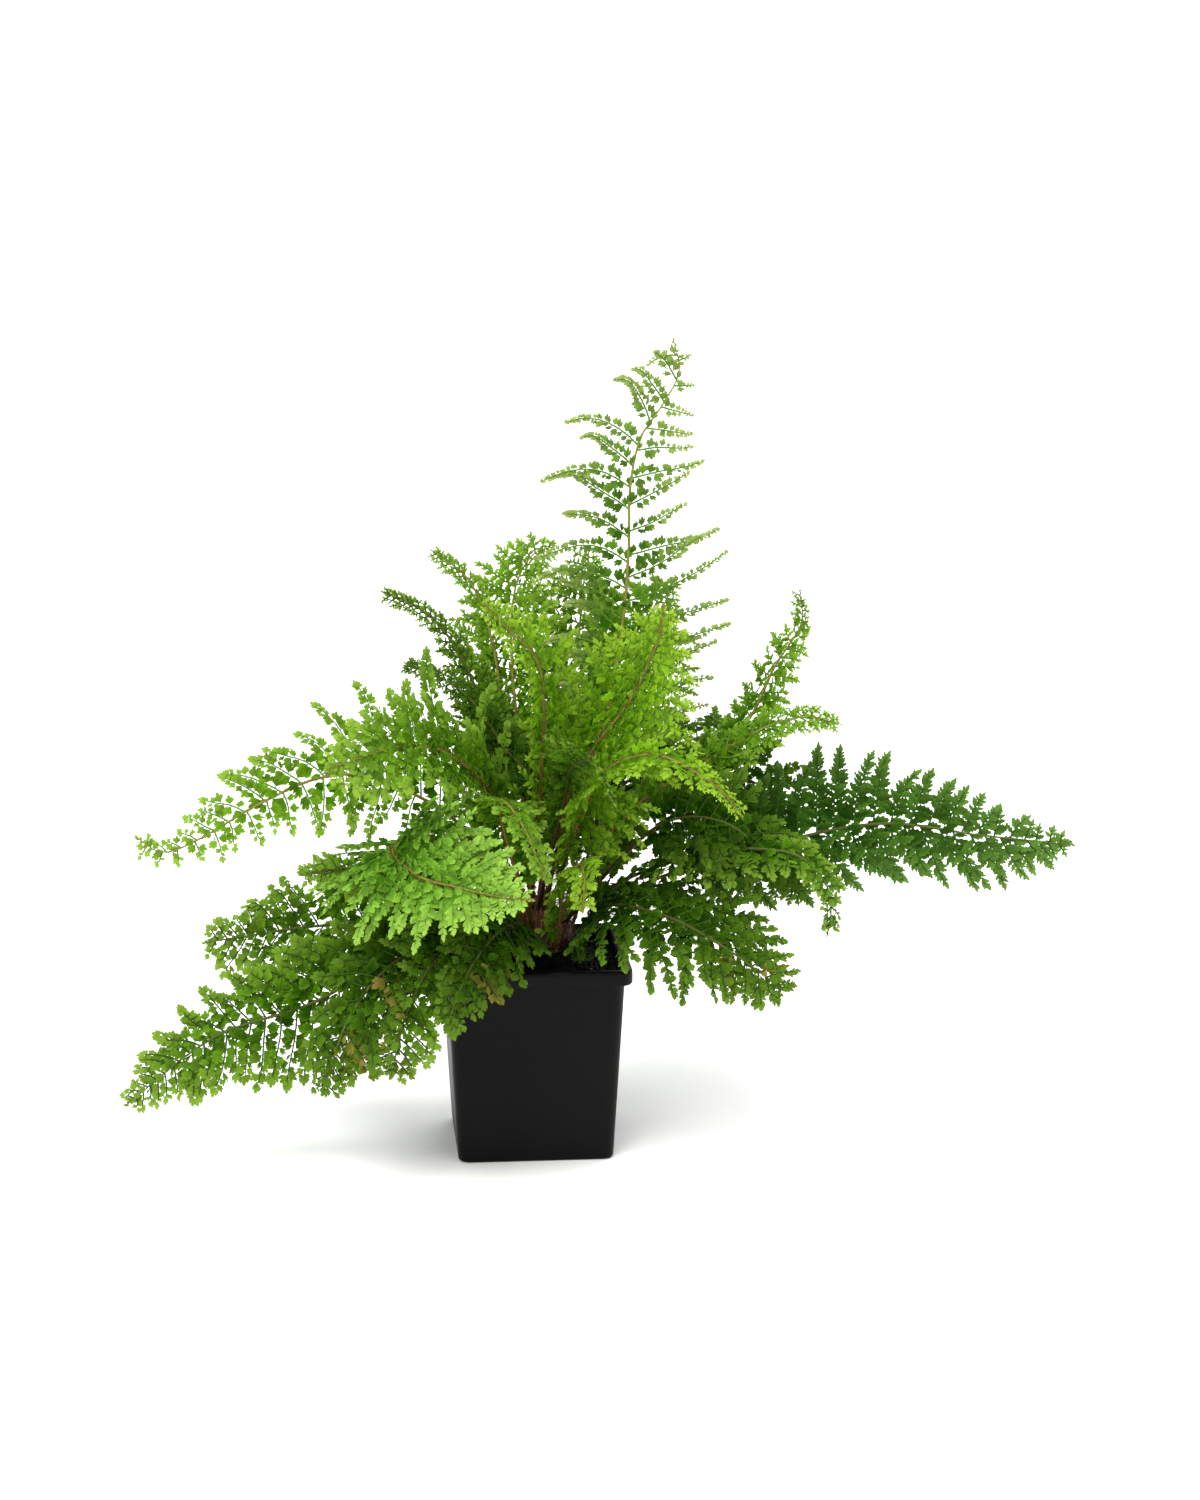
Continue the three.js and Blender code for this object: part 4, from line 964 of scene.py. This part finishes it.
def build_soil(material, grit_material):
    """The mix that fills the pot, mounded round a hub under the rootstock, with loose grains on it."""
    split, arc_steps = 22, 8
    inner = pot_half(SOIL_TOP) - POT_WALL - 0.15
    edge = rounded_square(inner, corner_at(SOIL_TOP) - POT_WALL, SOIL_TOP, split, arc_steps)
    count = len(edge)
    angle = np.arctan2(edge[:, 1], edge[:, 0] - CROWN_X)
    hub = [CROWN_X + SOIL_HUB * np.cos(angle), SOIL_HUB * np.sin(angle), np.full(count, float(SOIL_TOP))]
    low = pot_half(POT_FLOOR) - POT_WALL - 0.2
    rings = [rounded_square(low, corner_at(0) - POT_WALL, POT_FLOOR + 0.2, split, arc_steps), edge]
    for share in np.linspace(0.02, 1, SOIL_RINGS):
        ring = edge * (1 - share) + np.stack(hub, -1) * share
        mound = SOIL_MOUND * math.sin(share * math.pi / 2)
        coarse = lump(ring, 0.13, 1) * 2.2 * min(1, share * 6 + 0.3)
        fine = np.abs(lump(ring, 0.55, 2)) * 1.8 + lump(ring, 1.4, 3) * 0.6
        ring[:, 2] += mound + coarse + fine - 0.8
        rings.append(ring)
    place(new_mesh("potting_mix", *closed_rings(rings), material), "soil", "soil")
    surface = np.concatenate(rings[3:30])
    for name, made_of in (("peat_crumbs", material), ("perlite", grit_material)):
        number, smallest, largest = GRAINS[name]
        grains = Soup()
        for spot in surface[rng.integers(0, len(surface), number)]:
            size = smallest + (largest - smallest) * rng.random() ** 2
            add_grain(grains, spot + [0, 0, size * 0.3], size)
        place(grains.build(name, made_of, "stem"), "soil")


GOLDEN = (1 + math.sqrt(5)) / 2
CORNERS = [(one, long) for long in (GOLDEN, -GOLDEN) for one in (-1, 1)]
BALL = unit(np.array([np.roll((one, long, 0), turn) for turn in range(3) for one, long in CORNERS]))
BALL_FACES = np.array(
    [(0, 11, 5), (0, 5, 1), (0, 1, 7), (0, 7, 10), (0, 10, 11), (1, 5, 9), (5, 11, 4), (11, 10, 2)]
    + [(10, 7, 6), (7, 1, 8), (3, 9, 4), (3, 4, 2), (3, 2, 6), (3, 6, 8), (3, 8, 9), (4, 9, 5)]
    + [(2, 4, 11), (6, 2, 10), (8, 6, 7), (9, 8, 1)]
)


def add_grain(soup, spot, size):
    """A small irregular grain."""
    shape = BALL * (0.65 + 0.7 * rng.random((12, 1))) * (0.7 + 0.6 * rng.random(3))
    soup.add(spot + shape * size, [BALL_FACES], plant_marks(rng.random(), 0, 0))


def share_of_height(verts):
    """How high on the part of the rootstock that stands clear of the mix, 0 to 1."""
    return (np.asarray(verts)[:, 2] - SOIL_TOP) / (CROWN_HEIGHT - SOIL_TOP)


def build_crown(material):
    """The rootstock: a lumpy mound under overlapping papery scales."""
    count = CROWN_SIDES
    angles = np.arange(count) / count * 2 * np.pi
    rings = []
    for radius, z in CROWN_SECTION:
        ring = np.stack([radius * np.cos(angles), radius * np.sin(angles), np.full(count, float(z))], -1)
        bulge = 1 + 0.05 * lump(ring, 0.16, 5)[:, None] + 0.03 * lump(ring, 0.5, 6)[:, None]
        rings.append(ring * np.concatenate([bulge, bulge, np.ones_like(bulge)], 1) + [CROWN_X, 0, 0])
    mound = Soup()
    top = CROWN_HEIGHT - 0.6
    verts = np.concatenate(rings + [[[CROWN_X, 0, top]]])
    last = (len(rings) - 1) * count
    lid = np.array([[last + i, last + (i + 1) % count, len(verts) - 1] for i in range(count)])
    base = np.array([[0, i + 1, i] for i in range(1, count - 1)])
    faces = [grid_faces(len(rings), count), np.concatenate([lid, base])]
    mound.add(verts, faces, plant_marks(rng.random(len(verts)), share_of_height(verts), BARK))
    number = CROWN_SCALES
    profile = np.array(CROWN_SECTION[1:] + [(0.5, top)])
    row = rng.random(number) ** 0.85 * (len(profile) - 1.001)
    k = row.astype(int)
    t = (row - k)[:, None]
    at = profile[k] * (1 - t) + profile[k + 1] * t
    slope = unit(profile[k + 1] - profile[k])
    turn = 2 * np.pi * rng.random(number)
    ring_out = np.stack([np.cos(turn), np.sin(turn), np.zeros(number)], -1)
    up = np.array([0, 0, 1.0])
    points = ring_out * at[:, :1] + up * at[:, 1:] + [CROWN_X, 0, 0]
    along = unit(ring_out * slope[:, :1] + up * slope[:, 1:])
    outward = unit(ring_out * slope[:, 1:] - up * slope[:, :1])
    lengths = 3.5 + 5 * rng.random(number)
    verts, faces = papery_scales(points - outward * 0.4, outward, along, lengths, CROWN_SCALE_WIDTH)
    chance = np.repeat(rng.random(number), SCALE_POINTS)
    mound.add(verts, [faces], plant_marks(chance, share_of_height(verts), SCALE))
    place(mound.build("scaly_crown", material, "stem"), "crown", "crown")


# ---- materials


def linear(hex_colour):
    """A colour as it looks on a screen, such as 0x4A2C1A, as Blender's linear one."""
    parts = [((hex_colour >> shift) & 255) / 255 for shift in (16, 8, 0)]
    return tuple(c / 12.92 if c <= 0.04045 else ((c + 0.055) / 1.055) ** 2.4 for c in parts) + (1.0,)


class Nodes:
    """Short hand for a material's node tree."""

    def __init__(self, name):
        self.material = bpy.data.materials.new(name)
        self.material.use_nodes = True
        self.tree = self.material.node_tree
        self.tree.nodes.clear()

    def put(self, node, values):
        for key, value in values.items():
            if isinstance(value, bpy.types.NodeSocket):
                self.tree.links.new(value, node.inputs[key])
            else:
                node.inputs[key].default_value = value

    def add(self, kind, values=None, **settings):
        node = self.tree.nodes.new(kind)
        for key, value in settings.items():
            setattr(node, key, value)
        self.put(node, values or {})
        return node

    def mix(self, factor, a, b):
        """Colours a and b, each a socket or a hex number."""
        a, b = (linear(colour) if isinstance(colour, int) else colour for colour in (a, b))
        return self.add("ShaderNodeMix", {0: factor, 6: a, 7: b}, data_type="RGBA").outputs[2]

    def math(self, operation, a, b=0.0):
        return self.add("ShaderNodeMath", {0: a, 1: b}, operation=operation).outputs[0]

    def times(self, a, b):
        return self.math("MULTIPLY", a, b)

    def plus(self, a, b):
        return self.math("ADD", a, b)

    def ramp(self, factor, stops):
        """Colours as hex numbers, each after its position."""
        node = self.add("ShaderNodeValToRGB", {0: factor})
        elements = node.color_ramp.elements
        elements[0].position, elements[1].position = stops[0][0], stops[-1][0]
        elements[0].color, elements[1].color = linear(stops[0][1]), linear(stops[-1][1])
        for position, colour in stops[1:-1]:
            elements.new(position).color = linear(colour)
        return node.outputs[0]

    def noise(self, scale, detail=3.0, roughness=0.5):
        place_of = self.add("ShaderNodeTexCoord").outputs["Object"]
        values = {"Vector": place_of, "Scale": scale, "Detail": detail, "Roughness": roughness}
        return self.add("ShaderNodeTexNoise", values).outputs["Fac"]

    def layer(self, name):
        node = self.add("ShaderNodeAttribute", attribute_name=name)
        return self.add("ShaderNodeSeparateXYZ", {0: node.outputs["Vector"]}).outputs

    def bump(self, height, strength, distance):
        values = {"Height": height, "Strength": strength, "Distance": distance}
        return self.add("ShaderNodeBump", values).outputs["Normal"]

    def surface(self, colour, roughness, normal=None):
        """The shader that all but the leaves' translucency is made of."""
        shader = self.add("ShaderNodeBsdfPrincipled", {"Base Color": colour, "Roughness": roughness})
        if normal:
            self.put(shader, {"Normal": normal})
        return shader

    def finish(self, shader):
        self.add("ShaderNodeOutputMaterial", {"Surface": shader.outputs[0]})
        return self.material


def leaf_material(name, deep, light, young, glow):
    """Leaf green that varies by leaflet and by place, paler at growing tips, with fine fan veins and light
    through it. Painted shade darkens it towards the frond's base, the rachis and each leaflet's hub, where
    the plant shades itself. A worn leaflet has a youth below 0."""
    n = Nodes(name)
    chance, youth, radius = n.layer("leaf")
    angle, along, share = n.layer("fan")
    # Random tone by leaflet and patch, then painted shade: radius darkens each leaflet's hub, partly where
    # its neighbours shade it and partly against its own paler margin; share and along darken leaflets near
    # the frond's base and near the rachis, inside the plant.
    spread = n.plus(n.times(chance, 0.8), n.times(n.noise(34.0, 2.0), 0.6))
    spread = n.plus(n.times(radius, 0.6), n.math("SUBTRACT", spread, 1.0))
    spread = n.plus(spread, n.plus(n.times(share, 0.45), n.times(along, 0.4)))
    colour = n.mix(spread, deep, light)
    vein = n.times(n.math("SINE", n.times(angle, 26.0)), radius)
    colour = n.mix(n.times(n.math("MAXIMUM", vein, 0.0), 0.22), colour, light)
    colour = n.mix(n.times(youth, 0.85), colour, young)
    worn = n.times(n.times(youth, -1.1), n.plus(chance, radius))
    colour = n.mix(worn, colour, n.mix(chance, 0x6E7A24, 0x86703A))
    # Paler margins on the lighter leaflets: partly the leaflet's own edge, partly painted light that sets it
    # apart from its neighbours.
    edge = n.times(n.math("POWER", radius, 4.0), spread)
    colour = n.mix(n.times(edge, 0.34), colour, young)
    gloss = n.surface(colour, 0.48, n.bump(n.plus(vein, n.noise(900.0)), 0.35, 0.0003))
    gloss.inputs["IOR"].default_value = 1.1
    gloss.inputs["Specular IOR Level"].default_value = 0.1
    through = n.add("ShaderNodeBsdfTranslucent", {"Color": n.mix(0.35, colour, glow)})
    return n.finish(n.add("ShaderNodeMixShader", {0: 0.24, 1: gloss.outputs[0], 2: through.outputs[0]}))


def stem_material(name, base, middle, far, fine, scale):
    """Stalk brown that turns greener towards the tip, with papery scales."""
    n = Nodes(name)
    chance, share, kind = n.layer("stem")
    stalk = n.ramp(share, [(0.0, base), (0.45, middle), (1.0, far)])
    stalk = n.mix(n.times(n.noise(260.0), 0.3), stalk, base)
    is_fine = n.math("GREATER_THAN", kind, (BARK + FINE) / 2)
    colour = n.mix(is_fine, stalk, n.mix(n.times(chance, 0.2), fine, middle))
    is_scale = n.math("GREATER_THAN", kind, (FINE + SCALE) / 2)
    colour = n.mix(is_scale, colour, n.mix(n.times(chance, 0.6), scale, base))
    shader = n.surface(colour, 0.6, n.bump(n.noise(700.0), 0.4, 0.0004))
    shader.inputs["Specular IOR Level"].default_value = 0.1
    return n.finish(shader)


def crown_material():
    """Brown papery scales, with painted shade that turns them near black towards the rootstock's base, under
    the fronds.
    """
    n = Nodes("scaly_crown")
    chance, height, kind = n.layer("stem")
    ground = n.mix(n.noise(120.0), 0x1E0F09, 0x3A2013)
    papery = n.ramp(chance, [(0.0, 0x382010), (0.5, 0x6A4022), (0.85, 0x8E6034), (1.0, 0xA87E4E)])
    colour = n.mix(kind, ground, papery)
    # Painted shade: the rootstock fades to near black towards its base and is fully dark below 0.3 of its
    # height above the mix.
    above_painted_shade = n.times(n.math("SUBTRACT", height, 0.3), 2.2)
    colour = n.mix(n.math("MINIMUM", n.math("MAXIMUM", above_painted_shade, 0.0), 1.0), 0x0A0705, colour)
    return n.finish(n.surface(colour, 0.7, n.bump(n.noise(500.0), 0.6, 0.0006)))


def soil_material():
    n = Nodes("potting_mix")
    grain = n.noise(420.0, 6.0, 0.65)
    # Painted shade: these browns are darker than the mix's own colour and stand for the shade that the fronds
    # cast into the pot.
    colour = n.ramp(grain, [(0.3, 0x040302), (0.6, 0x0C0806), (0.85, 0x1E1510)])
    height = n.plus(grain, n.times(n.noise(140.0, 5.0), 1.5))
    shader = n.surface(colour, 0.92, n.bump(height, 0.9, 0.0012))
    shader.inputs["Specular IOR Level"].default_value = 0.1
    return n.finish(shader)


def grit_material():
    n = Nodes("perlite")
    colour = n.mix(n.noise(600.0), 0x6F6A63, 0xA9A49B)
    return n.finish(n.surface(colour, 0.85, n.bump(n.noise(900.0), 0.5, 0.0004)))


def pot_material():
    """Satin black moulded plastic with a fine skin, faint flow streaks and a little dust."""
    n = Nodes("black_plastic")
    colour = n.mix(n.noise(18.0, 4.0, 0.6), 0x060606, 0x0B0B0B)
    dust = n.times(n.math("POWER", n.noise(9.0, 5.0, 0.7), 3.0), 0.15)
    colour = n.mix(dust, colour, 0x181716)
    rough = n.plus(n.times(n.noise(60.0, 4.0), 0.18), 0.32)
    skin = n.plus(n.noise(2600.0, 2.0), n.times(n.noise(90.0, 2.0), 1.5))
    shader = n.surface(colour, rough, n.bump(skin, 0.12, 0.0002))
    shader.inputs["Specular IOR Level"].default_value = 0.08
    return n.finish(shader)


def floor_material():
    n = Nodes("pale_floor")
    return n.finish(n.surface(n.mix(n.noise(3.0), (0.9, 0.9, 0.9, 1), (0.92, 0.92, 0.92, 1)), 0.9))


# ---- camera, light and floor

FLOOR_HALF = 200  # metres, so that no edge of it shows
FLOOR_DROP = 0.0003


def aim(obj, position, target):
    """Sets an object's place, looking at the target."""
    obj.location = position
    obj.rotation_euler = (Vector(target) - Vector(position)).to_track_quat("-Z", "Y").to_euler()


def add_camera():
    azimuth = math.radians(CAMERA_AZIMUTH)
    pitch = math.radians(CAMERA_PITCH)
    right = Vector((math.cos(azimuth), math.sin(azimuth), 0))
    level = math.cos(pitch)
    ahead = Vector((-math.sin(azimuth) * level, math.cos(azimuth) * level, -math.sin(pitch)))
    target = (right * TARGET_RIGHT + Vector((0, 0, TARGET_HEIGHT))) * MM
    camera = bpy.data.cameras.new("camera")
    camera.sensor_fit = "VERTICAL"
    camera.sensor_height = 36
    camera.lens = camera.sensor_height * FOCAL_PX / FRAME_HEIGHT_PX
    camera.clip_end = 500
    obj = link("camera", camera)
    aim(obj, target - ahead * CAMERA_DISTANCE * MM, target)
    bpy.context.scene.camera = obj


def add_sun(name, position, strength, spread, colour=(1, 1, 1)):
    """A broad, soft light of even strength over the whole floor."""
    light = bpy.data.lights.new(name, "SUN")
    light.angle = math.radians(spread)
    light.energy = strength
    light.color = colour
    aim(link(name, light), position, (0, 0, 0))


def add_studio():
    world = bpy.data.worlds.new("studio")
    world.use_nodes = True
    world.node_tree.nodes["Background"].inputs["Color"].default_value = (1, 1, 1, 1)
    world.node_tree.nodes["Background"].inputs["Strength"].default_value = 1.0
    bpy.context.scene.world = world
    add_sun("key", (-0.9, -1.3, 2.4), 3.4, 40, (1, 0.985, 0.96))
    add_sun("back", (0.7, 1.5, 1.9), 1.6, 60)
    around = ((-1, -1), (1, -1), (1, 1), (-1, 1))
    corners = np.array([[x * FLOOR_HALF, y * FLOOR_HALF, -FLOOR_DROP] for x, y in around])
    floor = new_mesh("floor", corners / MM, [np.array([[0, 1, 2, 3]])], floor_material(), smooth=False)
    bpy.context.scene.view_settings.view_transform = "Standard"


# ---- the plant

# Deep, light and young green, and the light that comes through, by slot or tone.
LEAF_COLOURS = {
    "bright": (0x285A00, 0x72A808, 0x98B63C, 0x74AE00),
    "fresh": (0x204C00, 0x5E9006, 0x88A840, 0x649A00),
    "mid": (0x163A00, 0x4A7C06, 0x7C9838, 0x528C00),
    "dark": (0x0C2800, 0x325C06, 0x628028, 0x386A00),
    "mint": (0x285A02, 0x74AC2E, 0x9CBE56, 0x74AC1C),
    "cool": (0x0C2A02, 0x3C6418, 0x66883C, 0x44721E),
    "pale": (0x1A4600, 0x4E8010, 0xA0AE66, 0x5E8C12),
}
# Stalk at the crown, halfway and at the tip, the pinnae's fine stalks, and the scales.
STEM_COLOURS = {
    "stem_bright": (0x4A2C1A, 0x7C7430, 0x6E8C32, 0x44760E, 0xA2824A),
    "stem_dark": (0x2E1C12, 0x48441E, 0x4C6A28, 0x24480A, 0x66502A),
}
DULL = ("mid", "dark", "cool")

leaf_materials = {tone: leaf_material("leaf_" + tone, *colours) for tone, colours in LEAF_COLOURS.items()}
stem_materials = {name: stem_material(name, *colours) for name, colours in STEM_COLOURS.items()}

add_camera()
add_studio()
build_pot(pot_material())
build_soil(soil_material(), grit_material())
build_crown(crown_material())

rachises = [rachis_of(frond) for frond in FRONDS]
for number, rachis in enumerate(rachises):
    take(rachis["centres"], number + 1)
for number, (frond, rachis) in enumerate(zip(FRONDS, rachises)):
    pinnae = plan_pinnae(frond, rachis, number + 1)
    tone = frond.get("tone", frond["slot"])
    build_leaf(frond, rachis, pinnae, leaf_materials[tone])
    build_stems(frond, rachis, pinnae, stem_materials["stem_dark" if tone in DULL else "stem_bright"])
